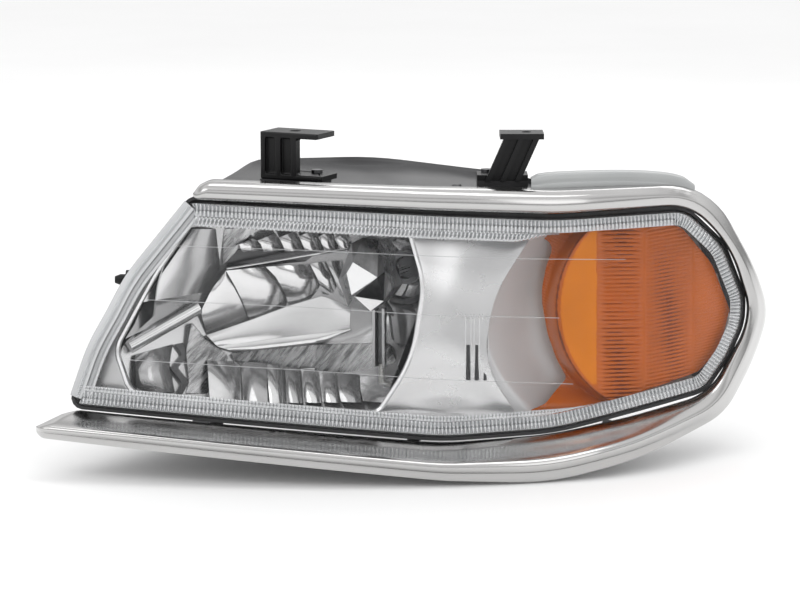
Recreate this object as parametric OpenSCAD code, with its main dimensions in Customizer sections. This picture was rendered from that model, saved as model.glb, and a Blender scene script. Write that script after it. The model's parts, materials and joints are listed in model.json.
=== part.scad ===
// Left headlamp of a sport utility vehicle: clear outer lens with a chrome surround,
// aimable main reflector, wrap-round turn signal, top brackets and rear service parts.
// Frame: +X outboard, +Y rearward, +Z up, origin at the outer bracket's bolt hole.

/* [Placement] */
// Turn of the lens face away from straight ahead, in degrees
sweep = 26; // [25:0.5:27]
// Lean of the lens face back from upright, in degrees
lean = 8; // [7.5:0.1:8.5]

/* [Lens] */
// Wall of the outer lens
lens_wall = 3; // [2.4:0.1:3.2]
// Depth of the lens edge that sits in the housing
lens_skirt = 14; // [12:1:14]
// How quickly the face falls back inboard of its squarest point
bow_inboard = 0.00055; // [0.0005:0.00001:0.0006]
// How quickly the face falls back outboard of that point
bow_outboard = 0.0006; // [0.00055:0.00001:0.00065]

/* [Trim] */
// Sheet thickness of the chrome surround
trim_wall = 2.6; // [2:0.1:3]
// How far the lower ledge stands in front of the lens
ledge_reach = 20; // [16:1:22]

/* [Optics] */
// Focal length of the reflector near the bulb
focal = 26; // [25:0.5:27]
// How fast the facets' focal length grows with radius
focal_growth = 0.17; // [0.16:0.01:0.18]
// Wall of the main reflector
reflector_wall = 2.5; // [2:0.1:3]
// Radius of the bulb hole
bulb_hole_r = 22; // [21:0.5:22.5]

/* [Housing] */
// Wall of the moulded housing
housing_wall = 2.6; // [2.4:0.1:3]
// Depth of the main rear wall behind the lens frame
rear_depth = 118; // [117:1:120]
// Inner radius of the rear service port
port_r = 42; // [41:0.5:43]
// Radius of the turn signal socket's hole
turn_port_r = 15; // [14:0.5:16]
// Radius of the side marker socket's hole
marker_port_r = 10; // [9:0.5:11]

/* [Aiming] */
// Height between the pivot ball and the vertical aiming nut
arm_vertical = 86; // [84:1:87]
// Distance across the car between the pivot ball and the side aiming nut
arm_side = 150; // [148:1:152]
// Radius of the aiming screws' shanks
screw_r = 2.5; // [2.3:0.1:2.8]
// Radius of the pivot ball
ball_r = 5; // [4.5:0.1:5.2]

/* [Mounting] */
// Radius of the brackets' bolt holes
bolt_r = 3.5; // [3.2:0.1:4]
// Radius of the lower mounting studs
stud_r = 3; // [2.5:0.5:4]

/* [Hidden] */

$fn = 48;
arc_steps = 4;
bow_mid = -40;
wrap = 7.1e-9;
flange_t = 4;
slack = 0.05;

// Bolt holes of the outer and the inner bracket, measured from the lens middle
bolt = [54, 94, 110];
inner_bolt = [-97, 28, 110];
pad_z = 78;

// Bulb axis and filament, pivot ball and aiming nuts, from the lens middle
bulb = [-37, 63, 9];
seat_y = bulb[1] + 31;
pivot = [-146, 48, 48];
vertical_nut = pivot - [0, 0, arm_vertical];
side_nut = pivot + [arm_side, 40, 0];
nut_r = 7;
socket_r = 8.5;
channel_gap = 0.45;

// Socket axes in the lens frame: [across, up]
turn_at = [150, -8];
marker_at = [206, -12];

// ---- frames -------------------------------------------------------------------

module place() { translate(-bolt) children(); }
module lens_frame() { rotate([0, 0, sweep]) rotate([-lean, 0, 0]) children(); }
module rearward(p) { translate(p) rotate([-90, 0, 0]) children(); }

// A lens-frame point [across, back, up] in the car's directions
function car(p) =
    let (back = p[1] * cos(lean) + p[2] * sin(lean),
         up = p[2] * cos(lean) - p[1] * sin(lean))
    [p[0] * cos(sweep) - back * sin(sweep), p[0] * sin(sweep) + back * cos(sweep), up];

// Depth of the lens face behind the frame's front plane
function bow(u) =
    let (d = u - bow_mid)
    d < 0 ? bow_inboard * d * d : bow_outboard * d * d + wrap * d * d * d * d;

// ---- outlines -----------------------------------------------------------------
// An outline is a list of [across, up, corner radius].

function unit(v) = v / norm(v);
function mix(a, b, t) = a + (b - a) * t;
function flat(v) = [v[0], v[1]];

// Points of the rounded corner at b, between a and c
function corner(a, b, c, r) =
    let (p = unit(a - b), q = unit(c - b), half = acos(p * q) / 2,
         run = min(r / tan(half), 0.48 * norm(a - b), 0.48 * norm(c - b)),
         centre = b + unit(p + q) * run / cos(half),
         from = b + p * run - centre, to = b + q * run - centre, turn = 180 - 2 * half)
    [for (i = [0 : arc_steps])
        centre + (from * sin(turn * (1 - i / arc_steps)) + to * sin(turn * i / arc_steps)) / sin(turn)];

function rounded(v, i, closed) =
    let (n = len(v))
    !closed && (i == 0 || i == n - 1) ? [flat(v[i])]
    : corner(flat(v[(i + n - 1) % n]), flat(v[i]), flat(v[(i + 1) % n]), v[i][2]);

// Rounded outline, with cuts[i] equal steps on the straight after corner i
function outline(v, cuts, closed) =
    let (n = len(v), parts = [for (i = [0 : n - 1]) rounded(v, i, closed)])
    [for (i = [0 : n - 1]) each concat(parts[i],
        i == n - 1 && !closed ? []
        : let (a = parts[i][len(parts[i]) - 1], b = parts[(i + 1) % n][0])
          [for (k = [1 : 1 : cuts[i] - 1]) mix(a, b, k / cuts[i])])];

// Closed ring from an upper and a lower chain that share both their ends
function ring_of(upper, lower, cuts) =
    let (a = outline(upper, cuts, false), b = outline(lower, cuts, false))
    concat(a, [for (i = [len(b) - 2 : -1 : 1]) b[i]]);

// The ring moved outward by d, in its own plane
function grow(ring, d) =
    let (n = len(ring))
    [for (i = [0 : n - 1])
        let (t = unit(ring[(i + 1) % n] - ring[(i + n - 1) % n])) ring[i] + [-t[1], t[0]] * d];

// A flat ring laid on the lens face, then moved back by d
function on_face(ring, d) = [for (p = ring) [p[0], bow(p[0]) + d, p[1]]];

// ---- solids from rings --------------------------------------------------------

// A ring filled in by rows between its upper and lower halves; laid() places each point
function cap(ring, rows, laid) =
    let (m = len(ring), h = m / 2)
    concat(ring, [for (i = [1 : h - 1], j = [1 : 1 : rows - 1])
        laid(mix(ring[m - i], ring[i], j / rows))]);

function cap_id(i, j, m, rows) =
    i == 0 ? 0 : i == m / 2 ? m / 2 : j == 0 ? m - i : j == rows ? i
    : m + (i - 1) * (rows - 1) + j - 1;

function cap_faces(m, rows, base, turned) =
    [for (i = [0 : m / 2 - 1], j = [0 : rows - 1], half = [0, 1])
        let (a = cap_id(i, j, m, rows), b = cap_id(i + 1, j, m, rows),
             c = cap_id(i + 1, j + 1, m, rows), d = cap_id(i, j + 1, m, rows),
             tri = half == 0 ? [a, b, c] : [a, c, d])
        if (tri[0] != tri[1] && tri[1] != tri[2] && tri[2] != tri[0])
            [for (k = [0 : 2]) base + tri[turned ? k : 2 - k]]];

function strip_faces(m, a, b) =
    [for (i = [0 : m - 1], half = [0, 1])
        let (k = (i + 1) % m)
        half == 0 ? [b + k, a + k, a + i] : [b + i, b + k, a + i]];

// A closed solid: one cap, walls ring by ring, the other cap. The first cap faces the
// front unless from_behind is set.
module shell(front, walls, back, rows, from_behind = false) {
    m = len(walls[0]);
    first = len(front);
    last = first + m * len(walls);
    faces = concat(
        cap_faces(m, rows, 0, false),
        strip_faces(m, 0, first),
        [for (w = [0 : 1 : len(walls) - 2])
            each strip_faces(m, first + w * m, first + (w + 1) * m)],
        strip_faces(m, last - m, last),
        cap_faces(m, rows, last, true));
    polyhedron(
        points = concat(front, [for (w = walls) each w], back),
        faces = [for (f = faces) from_behind ? [f[2], f[1], f[0]] : f]);
}

// A solid swept through section outlines, either round a closed path or with two ends
module sweep_of(sections, closed) {
    n = len(sections);
    m = len(sections[0]);
    ends = closed ? [] : concat(
        [for (k = [1 : m - 2]) [0, k + 1, k]],
        [for (k = [1 : m - 2]) [(n - 1) * m, (n - 1) * m + k, (n - 1) * m + k + 1]]);
    polyhedron(
        points = [for (s = sections) each s],
        faces = concat(
            [for (i = [0 : closed ? n - 1 : n - 2], k = [0 : m - 1], half = [0, 1])
                let (a = i * m, b = ((i + 1) % n) * m, q = (k + 1) % m)
                half == 0 ? [a + k, b + q, b + k] : [a + k, a + q, b + q]],
            ends));
}

// Sections across two matched paths: profile(share of path, gap) gives [share across, depth]
function sections_between(first, second, profile) =
    [for (i = [0 : len(first) - 1])
        [for (p = profile(i / (len(first) - 1), norm(second[i] - first[i])))
            let (q = mix(first[i], second[i], p[0])) [q[0], bow(q[0]) + p[1], q[1]]]];

// ---- driving outlines ---------------------------------------------------------

// Lens edge from its left edge to its outboard nose, above and below
lens_left = [-203, -8.5];
lens_nose = [249.8, -14];
lens_upper = [
    lens_left, [-190, 16, 140], [-146, 70, 5], [20, 61, 500], [110, 57.5, 300],
    [205, 63.5, 25], [234, 38, 40], [250.5, 0, 30], lens_nose
];
lens_lower = [
    lens_left, [-217, -33, 140], [-231, -73, 5], [30, -95, 200], [110, -90, 200],
    [220, -65, 22], [238, -42, 60], [248, -22, 25], lens_nose
];
lens_cuts = [1, 2, 8, 3, 4, 2, 2, 1];
lens_ring = ring_of(lens_upper, lens_lower, lens_cuts);

// Rear wall of the housing, matched corner by corner to the lens edge
rear_left = [-170, 0];
rear_nose = [226, -12];
rear_upper = [
    rear_left, [-168, 40, 40], [-112, 101, 30], [-20, 103, 300], [70, 92, 60],
    [196, 64, 25], [214, 40, 30], [225, 5, 20], rear_nose
];
rear_lower = [
    rear_left, [-170, -40, 40], [-150, -76, 25], [20, -84, 200], [100, -80, 200],
    [200, -60, 25], [214, -44, 30], [224, -24, 20], rear_nose
];
rear_ring = ring_of(rear_upper, rear_lower, lens_cuts);

// Edge of the chrome surround next to the lens, and its outer edge
trim_near = [
    [-146, 75], [20, 66, 500], [110, 62.5, 300], [208, 69, 26], [239, 40, 50],
    [256, -6, 22], [252, -25, 30], [224, -69, 24], [165, -83, 150], [108, -94, 200],
    [30, -99.5, 200], [-232, -77]
];
trim_far = [
    [-135, 86], [20, 81, 500], [110, 79.5, 300], [221, 83.5, 26], [262, 20, 90],
    [274.5, -12, 20], [262, -46, 70], [237, -82, 24], [170, -110.5, 200], [104, -126.5, 60],
    [30, -124, 300], [-256, -95.5]
];
trim_cuts = [8, 3, 4, 2, 2, 1, 2, 3, 3, 4, 12];

// Opening of the bezel over the main reflector, and the bezel's outer edge
opening = [
    [-172, 19, 90], [-146, 55, 6], [4, 49, 16], [16.5, 12, 60], [8, -42, 90],
    [-16, -71.5, 10], [-190, -61.5, 14], [-201, -34, 20]
];
bezel_edge = [
    [-182, 17, 90], [-143, 64, 5], [93, 52, 5], [61.5, 6, 90], [52.5, -44, 60],
    [80, -84, 5], [-224, -69, 5], [-209, -33, 120]
];
bezel_cuts = [2, 6, 3, 2, 3, 8, 2, 2];

// ---- housing ------------------------------------------------------------------

// Depth of the rear wall: deeper inboard behind the aiming gear, then parallel to the wrap
function rear_w(u) = max(rear_depth + 0.22 * max(0, -u) - 0.5 * max(0, u - 50), 60 + 0.28 * u);

// Ring of the housing wall between the front rim (t = 0) and the rear wall (t = 1)
function wall_ring(t, inset) =
    let (front = on_face(grow(lens_ring, 3.5 - inset), 18),
         rear = [for (p = grow(rear_ring, -inset)) [p[0], rear_w(p[0]) - inset, p[1]]],
         spread = pow(t, 0.7), depth = sin(90 * t))
    [for (i = [0 : len(front) - 1])
        [mix(front[i][0], rear[i][0], spread), mix(front[i][1], rear[i][1], depth),
         mix(front[i][2], rear[i][2], spread)]];

wall_stops = [1, 0.8, 0.55, 0.3, 0.12, 0];

module housing_shell() {
    rows = 4;
    stops = len(wall_stops);
    outer = [for (t = wall_stops) wall_ring(t, 0)];
    inner = [for (i = [stops - 1 : -1 : 0]) wall_ring(wall_stops[i], housing_wall)];
    lip = [
        on_face(grow(lens_ring, 3.5), 9), on_face(grow(lens_ring, 1.2), 9),
        on_face(grow(lens_ring, 1.2), 18), on_face(grow(lens_ring, -3.5), 18)
    ];
    lens_frame() shell(
        cap(outer[0], rows, function (p) [p[0], rear_w(p[0]), p[2]]),
        concat([for (i = [1 : stops - 1]) outer[i]], lip, [for (i = [0 : stops - 2]) inner[i]]),
        cap(inner[stops - 1], rows, function (p) [p[0], rear_w(p[0]) - housing_wall, p[2]]),
        rows, from_behind = true);
}

// Bayonet of a round plug: three lugs, and the hole with three slots and a groove that takes them
lug_count = 3;
lug_h = 1.6;
lug_turn = 45;

module lugs(r, y0, y1, width) {
    for (i = [0 : lug_count - 1])
        rotate([0, 0, i * 360 / lug_count]) intersection() {
            translate([r - 1.5, -width / 2, y0]) cube([lug_h + 3, width, y1 - y0]);
            cylinder(r = r + lug_h, h = y1 + 1);
        }
}

// Hole through a wall from z = 0 to depth; lugs drop in by slots and turn in the groove below
module twist_hole(r, depth, groove_top, width) {
    translate([0, 0, -1]) cylinder(r = r, h = depth + 2);
    translate([0, 0, -1]) cylinder(r = r + lug_h + 0.5, h = groove_top + 1);
    for (i = [0 : lug_count - 1])
        rotate([0, 0, i * 360 / lug_count])
            translate([0, -width / 2 - 0.6, -1]) cube([r + lug_h + 0.5, width + 1.2, depth + 2]);
}

// Rear service port along the bulb axis: collar, groove and lugs
port_front = 100;
port_end = 142;
port_wall = 5;
port_groove = 7;
port_depth = 14;
port_lug = 9;

// Twist-in sockets: [front of the hole, depth, groove depth, lug width] in the lens frame
turn_hole = [rear_w(turn_at[0]) - 6.4, 12, 6, 5];
marker_hole = [rear_w(marker_at[0]) - 9, 14, 7, 4];

// Where the aiming screws and the pivot stud cross the rear wall
vertical_wall = 79;
side_wall = 135;
pivot_wall = 91.5;
boss_reach = 8;
bushing_r = 5.5;
bushing_flange = 2;

// Lower studs: [across, up, y of the wall there]
stud_spots = [[-110, -64, 84.5], [20, -68, 124]];
stud_reach = 28;

// Screws that hold the bezel: [across, boss end next to the bezel, boss outer end]
bezel_screw_spots = [[-90, 63.5, 80], [40, 60.5, 80], [-130, -78.5, -92], [10, -86, -99]];
bezel_screw_back = 27;

// Bracket feet on the housing's top pads, and their screws
inner_foot = [-118, 14];
inner_foot_size = [44, 26];
outer_foot = [42, 80];
outer_foot_size = [36, 22];
bracket_screw_r = 2;
function turned(p) = [p[0] * cos(sweep) - p[1] * sin(sweep), p[0] * sin(sweep) + p[1] * cos(sweep)];
bracket_screw_spots = concat(
    [for (x = [8, 36]) inner_foot + [x, 19]],
    [for (x = [-11, 9]) outer_foot + turned([x, 16])]);

vent_spots = [[-96, 66, 106], [100, 30, 172]];
header_at = [24, 124, -40];
header_size = [32, 16];
peg_at = [58, 14];

module along_lens(at, hole) { lens_frame() rearward([at[0], hole[0], at[1]]) children(); }

module bezel_post(s, r) {
    translate([s[0], bow(s[0]) + bezel_screw_back, min(s[1], s[2])]) cylinder(r = r, h = abs(s[2] - s[1]));
}

module housing_bosses() {
    rearward([bulb[0], port_front, bulb[2]]) cylinder(r = port_r + port_wall, h = port_end - port_front);
    along_lens(turn_at, turn_hole) cylinder(r = turn_port_r + 5, h = turn_hole[1]);
    along_lens(marker_at, marker_hole) cylinder(r = marker_port_r + 4.5, h = marker_hole[1]);
    for (s = [[vertical_nut, vertical_wall, 9], [side_nut, side_wall, 9], [pivot, pivot_wall, 8]])
        rearward([s[0][0], s[1] - boss_reach, s[0][2]]) cylinder(r = s[2], h = 2 * boss_reach);
    for (s = stud_spots) rearward([s[0], s[2] - 7, s[1]]) cylinder(r = 9, h = 13);
    translate([inner_foot[0], inner_foot[1], pad_z - 8]) cube([inner_foot_size[0], inner_foot_size[1], 8]);
    translate([outer_foot[0], outer_foot[1], pad_z - 18]) rotate([0, 0, sweep])
        translate([-outer_foot_size[0] / 2, 0, 0]) cube([outer_foot_size[0], outer_foot_size[1], 18]);
    lens_frame() for (s = bezel_screw_spots) bezel_post(s, 5);
}

module housing_holes() {
    rearward([bulb[0], port_front - 1, bulb[2]]) cylinder(r = port_r, h = port_end - port_front + 2);
    rearward([bulb[0], port_end - port_depth, bulb[2]]) twist_hole(port_r, port_depth, port_groove, port_lug);
    along_lens(turn_at, turn_hole) twist_hole(turn_port_r, turn_hole[1], turn_hole[2], turn_hole[3]);
    along_lens(marker_at, marker_hole)
        twist_hole(marker_port_r, marker_hole[1], marker_hole[2], marker_hole[3]);
    for (s = [[vertical_nut, vertical_wall, bushing_r], [side_nut, side_wall, bushing_r], [pivot, pivot_wall, 3]])
        rearward([s[0][0], s[1] - 20, s[0][2]]) cylinder(r = s[2], h = 40);
    for (s = stud_spots) rearward([s[0], s[2] - 20, s[1]]) cylinder(r = stud_r, h = 40);
    for (p = bracket_screw_spots) translate([p[0], p[1], pad_z - 14]) cylinder(r = bracket_screw_r, h = 16);
    lens_frame() for (s = bezel_screw_spots) bezel_post([s[0], s[1] - 12 * sign(s[2]), s[2] + 9 * sign(s[2])], 2.2);
    translate(header_at - [header_size[0] / 2 - 2, 20, header_size[1] / 2 - 2])
        cube([header_size[0] - 4, 40, header_size[1] - 4]);
    for (v = vent_spots) rearward([v[0], v[2] - 20, v[1]]) cylinder(r = 3, h = 40);
    lens_frame() translate([-210, peg_at[0], peg_at[1]]) rotate([0, 90, 0]) cylinder(r = 4, h = 40);
}

module housing() {
    color([0.13, 0.13, 0.14]) place() difference() {
        union() {
            housing_shell();
            housing_bosses();
        }
        housing_holes();
    }
}

// ---- front: lens, seal, surround, bezel -----------------------------------------

module lens() {
    rows = 8;
    inner = grow(lens_ring, -lens_wall);
    color("lightcyan", 0.4) place() lens_frame() shell(
        cap(on_face(lens_ring, 0), rows, function (p) [p[0], bow(p[0]), p[2]]),
        [on_face(lens_ring, lens_skirt), on_face(inner, lens_skirt)],
        cap(on_face(inner, lens_wall), rows, function (p) [p[0], bow(p[0]) + lens_wall, p[2]]),
        rows);
}

module lens_seal() {
    rings = [
        on_face(grow(lens_ring, 1), 17.9), on_face(grow(lens_ring, -3.4), 17.9),
        on_face(grow(lens_ring, -3.4), 14.1), on_face(grow(lens_ring, 1), 14.1)
    ];
    color([0.05, 0.05, 0.05]) place() lens_frame()
        sweep_of([for (i = [0 : len(lens_ring) - 1]) [for (r = rings) r[i]]], true);
}

// Section of the chrome surround as [share across, depth]: round rail on top, flat band
// round the nose, forward ledge with a ridge below
rail = [
    [0, 9], [0.04, 2], [0.14, -3], [0.3, -6.5], [0.5, -8], [0.7, -6.5], [0.86, -3], [0.96, 3], [1, 11]
];
band = [
    [0, 9], [0.04, 4], [0.12, 1], [0.35, 0], [0.5, 0], [0.58, 1.5], [0.75, 6], [0.9, 10], [1, 15]
];
ledge = [
    [0, 9], [0.04, 4], [0.3, -0.4 * ledge_reach], [0.46, 3 - ledge_reach], [0.56, -ledge_reach],
    [0.68, -ledge_reach], [0.76, 2 - ledge_reach], [0.8, 4 - ledge_reach], [1, 6 - ledge_reach]
];
function ease(t) = let (c = min(1, max(0, t))) c * c * (3 - 2 * c);
function trim_face(s) =
    let (to_band = ease((s - 0.27) / 0.1), to_ledge = ease((s - 0.46) / 0.16))
    [for (i = [0 : len(rail) - 1]) mix(mix(rail[i], band[i], to_band), ledge[i], to_ledge)];
function trim_section(s, gap) =
    let (face = trim_face(s))
    concat(face, [for (i = [len(face) - 1 : -1 : 0])
        [0.07 + 0.86 * face[i][0], face[i][1] + trim_wall]]);

module chrome_trim() {
    near = outline(trim_near, trim_cuts, false);
    far = outline(trim_far, trim_cuts, false);
    color("silver") place() lens_frame()
        sweep_of(sections_between(near, far, function (s, gap) trim_section(s, gap)), false);
}

// Clips between the housing's lip and the surround: [across, up, turn of the edge there]
clip_spots = [
    [-80, 72.4, 2], [0, 68.4, 2], [70, 65.6, 2], [150, 66.8, -3],
    [150, -87.4, 14], [60, -101, 0], [-30, -97, 5], [-140, -86, 5]
];
module trim_clips() {
    color("gray") place() lens_frame() for (c = clip_spots)
        translate([c[0], bow(c[0]) + 11.5, c[1]]) rotate([0, -c[2] * sign(c[1]), 0]) difference() {
            cube([12, 6, 3.4], center = true);
            translate([0, 1.2, 0]) cube([13, 6, 1.4], center = true);
        }
}

module fender_flange() {
    near = outline([[94, 82], [175, 85, 200], [206, 85]], [5, 3], false);
    far = outline([[92, 90], [172, 92, 200], [211, 89]], [5, 3], false);
    face = [[0, 13.5], [0.45, 13.5], [0.52, 15.5], [1, 15.5]];
    section = concat(face, [for (i = [3 : -1 : 0]) face[i] + [0, 2.5]]);
    color("lightgray") place() lens_frame()
        sweep_of(sections_between(near, far, function (s, gap) section), false);
}

// Section of the bezel from its outer edge to the opening's wall
bezel_dish = 12;
function bezel_section(gap) =
    let (dish = bezel_dish * ease((gap - 25) / 60), wall = min(2 / gap, 0.28))
    [
        [0.05, 20.5], [0.1, 16.2], [0.5, 16 + dish], [1 - 1.7 * wall, 14], [1 - wall, 22], [1, 22],
        [1 - 0.5 * wall, 10], [1 - 1.6 * wall, 11], [0.5, 13.5 + dish], [0.08, 13.5], [0, 16], [0, 20.5]
    ];
louvres = [42.5, 48, 53.5];

module bezel() {
    edge = outline(bezel_edge, bezel_cuts, true);
    hole = outline(opening, bezel_cuts, true);
    color("gainsboro") place() lens_frame() difference() {
        union() {
            sweep_of(sections_between(edge, hole, function (s, gap) bezel_section(gap)), true);
            for (s = bezel_screw_spots) bezel_tab(s);
        }
        for (u = louvres) translate([u, 0, -54]) cube([2.2, 60, 40]);
        for (s = bezel_screw_spots) bezel_post([s[0], s[1] - 4.5 * sign(s[2]), s[1] + sign(s[2])], 1.8);
    }
}

// Tab behind the bezel's edge that takes one screw
module bezel_tab(s) {
    translate([s[0] - 6, bow(s[0]) + 18.9, s[2] > 0 ? s[1] - 7 : s[1]]) cube([12, 12.1, 7]);
}

module bezel_screws() {
    color("dimgray") place() lens_frame() for (s = bezel_screw_spots)
        translate([s[0], bow(s[0]) + bezel_screw_back, s[2]]) mirror([0, 0, s[2] > 0 ? 0 : 1]) {
            cylinder(r1 = 4, r2 = 3, h = 2);
            translate([0, 0, s[2] > 0 ? s[1] - s[2] - 4 : s[2] - s[1] - 4])
                cylinder(r = 1.8, h = abs(s[2] - s[1]) + 4.5);
        }
}

pocket_left = [61, -20];
pocket_nose = [242, -14];
pocket_upper = [pocket_left, [66, 8, 90], [98, 51, 5], [204, 54, 18], [229, 30, 40], pocket_nose];
pocket_lower = [pocket_left, [59, -46, 60], [87, -83, 5], [214, -60, 20], [237, -36, 30], pocket_nose];
bowl_left = [112, -8];
bowl_nose = [224, -14];
bowl_upper = [bowl_left, [113, 14, 30], [120, 38, 12], [196, 40, 16], [214, 20, 20], bowl_nose];
bowl_lower = [bowl_left, [113, -24, 30], [120, -52, 12], [196, -48, 16], [214, -34, 20], bowl_nose];
pocket_cuts = [1, 2, 4, 1, 1];
pocket_depth = 40;
pocket_wall = 2.2;

// Back of the bowl: shallower where the marker's boss stands behind it
function bowl_w(u) = bow(u) + pocket_depth - 0.35 * max(0, u - 165);

module turn_reflector() {
    rows = 4;
    rim = ring_of(pocket_upper, pocket_lower, pocket_cuts);
    bowl = ring_of(bowl_upper, bowl_lower, pocket_cuts);
    back = grow(bowl, pocket_wall);
    laid = function (p) [p[0], bowl_w(p[0]), p[2]];
    deeper = [0, pocket_wall, 0];
    color("gainsboro") place() lens_frame() difference() {
        shell(
            cap([for (p = bowl) [p[0], bowl_w(p[0]), p[1]]], rows, laid),
            [on_face(rim, 15), on_face(grow(rim, pocket_wall), 15)],
            cap([for (p = back) [p[0], bowl_w(p[0]) + pocket_wall, p[1]]], rows,
                function (p) laid(p) + deeper),
            rows, from_behind = false);
        rearward([turn_at[0], 0, turn_at[1]]) cylinder(r = turn_bulb_r + 1.2, h = 140);
        rearward([marker_at[0], 60, marker_at[1]]) cylinder(r = marker_bulb_r + 1.5, h = 80);
    }
}

amber_left = [112, -4];
amber_nose = [238, -13];
amber_upper = [amber_left, [113, 22, 40], [124, 47, 8], [201, 50, 16], [225, 27, 40], amber_nose];
amber_lower = [amber_left, [114, -30, 40], [126, -73, 8], [211, -56, 18], [232, -36, 25], amber_nose];
amber_wall = 2;

// The amber lens closes on the pocket's rim and drops deeper along its inboard side
function amber_skirt(ring) =
    [for (p = ring) [p[0], bow(p[0]) + 14.8 + 18 * ease((122 - p[0]) / 9), p[1]]];

module amber_lens() {
    rows = 6;
    outer = ring_of(amber_upper, amber_lower, pocket_cuts);
    inner = grow(outer, -amber_wall);
    color("orange") place() lens_frame() shell(
        cap(on_face(outer, 9), rows, function (p) [p[0], bow(p[0]) + 9, p[2]]),
        [amber_skirt(outer), amber_skirt(inner)],
        cap(on_face(inner, 9 + amber_wall), rows, function (p) [p[0], bow(p[0]) + 9 + amber_wall, p[2]]),
        rows);
}

// ---- brackets and mounts ---------------------------------------------------------

module inner_bracket() {
    top = inner_bolt[2] + flange_t / 2;
    color([0.08, 0.08, 0.09]) place() difference() {
        translate([inner_foot[0], inner_foot[1], 0]) {
            translate([0, 0, pad_z]) cube([inner_foot_size[0] + 5, inner_foot_size[1], flange_t]);
            translate([0, 0, top - flange_t]) cube([46, 28, flange_t]);
            translate([0, 3, pad_z]) cube([29, 4, top - pad_z]);
            for (x = [0, 12.5, 25]) translate([x, 0, pad_z]) cube([4, 6, top - pad_z]);
            translate([0, 4, pad_z]) cube([4, 20, top - pad_z]);
        }
        translate([inner_bolt[0], inner_bolt[1], top - flange_t - 1]) cylinder(r = bolt_r, h = flange_t + 2);
        for (i = [0, 1]) bracket_screw_hole(bracket_screw_spots[i]);
    }
}

module bracket_screw_hole(p) {
    translate([p[0], p[1], pad_z - 1]) cylinder(r = bracket_screw_r + 0.3, h = flange_t + 2);
}

// A flat rib in the lens frame's turn that leans outboard as it rises
module leaning_rib(left, right, lean_by, depth, height) {
    rotate([90, 0, 0]) linear_extrude(depth)
        polygon([[left, 0], [right, 0], [right + lean_by, height], [left + lean_by, height]]);
}

module outer_bracket() {
    top = bolt[2] + flange_t / 2;
    rise = top - pad_z;
    lean_by = 14;
    color([0.08, 0.08, 0.09]) place() difference() {
        translate([outer_foot[0], outer_foot[1], pad_z]) rotate([0, 0, sweep]) {
            translate([-outer_foot_size[0] / 2, 0, 0]) cube([outer_foot_size[0], outer_foot_size[1], flange_t]);
            translate([-2, -5, rise - flange_t]) cube([31, 25, flange_t]);
            translate([0, 3.5, 0]) leaning_rib(-12, 12, lean_by, 4, rise - 1);
            for (x = [-12.5, -2, 8.5]) translate([x, 1, 0]) leaning_rib(0, 4, lean_by, 5, rise - 2);
            translate([0, 18, 0]) leaning_rib(-9, -5, lean_by, 16, rise - 2);
        }
        translate([bolt[0], bolt[1], top - flange_t - 1]) cylinder(r = bolt_r, h = flange_t + 2);
        for (i = [2, 3]) bracket_screw_hole(bracket_screw_spots[i]);
    }
}

module bracket_screws() {
    color("dimgray") place() for (p = bracket_screw_spots) translate([p[0], p[1], pad_z]) {
        translate([0, 0, flange_t]) cylinder(r = 4, h = 2.4);
        translate([0, 0, -10]) cylinder(r = bracket_screw_r, h = 10 + flange_t);
    }
}

module mounting_studs() {
    color("silver") place() for (s = stud_spots) rearward([s[0], s[2] - 10, s[1]]) {
        cylinder(r = stud_r, h = 10 + stud_reach);
        translate([0, 0, 16]) cylinder(r = 6.5, h = 2);
    }
}

module side_peg() {
    color([0.08, 0.08, 0.09]) place() lens_frame() translate([-204, peg_at[0], peg_at[1]]) rotate([0, 90, 0]) {
        cylinder(r1 = 2.5, r2 = 4, h = 4);
        translate([0, 0, 4]) cylinder(r = 4, h = 20);
        translate([0, 0, 8]) cylinder(r = 7, h = 2.5);
    }
}

module vent_elbows() {
    color([0.06, 0.06, 0.06]) place() for (v = vent_spots) translate([v[0], v[2], v[1]]) difference() {
        union() {
            rearward([0, -8, 0]) cylinder(r = 3, h = 16);
            rearward([0, 3, 0]) cylinder(r = 5, h = 9);
            translate([0, 12, 0]) sphere(r = 5);
            translate([0, 12, -16]) cylinder(r = 5, h = 16);
        }
        rearward([0, -9, 0]) cylinder(r = 1.6, h = 20);
        translate([0, 12, -17]) cylinder(r = 2.5, h = 16);
    }
}

pin_pitch = 6;
module wiring_header() {
    w = header_size[0];
    h = header_size[1];
    color([0.1, 0.1, 0.1]) place() translate(header_at) difference() {
        union() {
            translate([-w / 2 + 2.1, -8, -h / 2 + 2.1]) cube([w - 4.2, 10, h - 4.2]);
            translate([-w / 2 - 3, 0.3, -h / 2 - 3]) cube([w + 6, 2.7, h + 6]);
            translate([-w / 2, 2, -h / 2]) cube([w, 22, h]);
        }
        translate([-w / 2 + 2, 6, -h / 2 + 2]) cube([w - 4, 20, h - 4]);
        for (i = [0 : 3]) translate([(i - 1.5) * pin_pitch - 1.4, -9, -0.4]) cube([2.8, 16, 0.8]);
    }
}

module header_pins() {
    color("goldenrod") place() translate(header_at) for (i = [0 : 3])
        translate([(i - 1.5) * pin_pitch - 1.4, -12, -0.4]) cube([2.8, 28, 0.8]);
}

// ---- aiming ------------------------------------------------------------------------

module pivot_stud() {
    color("silver") place() rearward(pivot) {
        sphere(r = ball_r);
        cylinder(r = 3, h = pivot_wall + boss_reach - pivot[1]);
        translate([0, 0, pivot_wall + boss_reach - pivot[1]]) cylinder(r = 6, h = 4, $fn = 6);
    }
}

module pivot_socket() {
    color("ivory") place() rearward(pivot) difference() {
        sphere(r = socket_r);
        sphere(r = ball_r + slack);
        cylinder(r = 4.3, h = socket_r + 1);
    }
}

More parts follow.
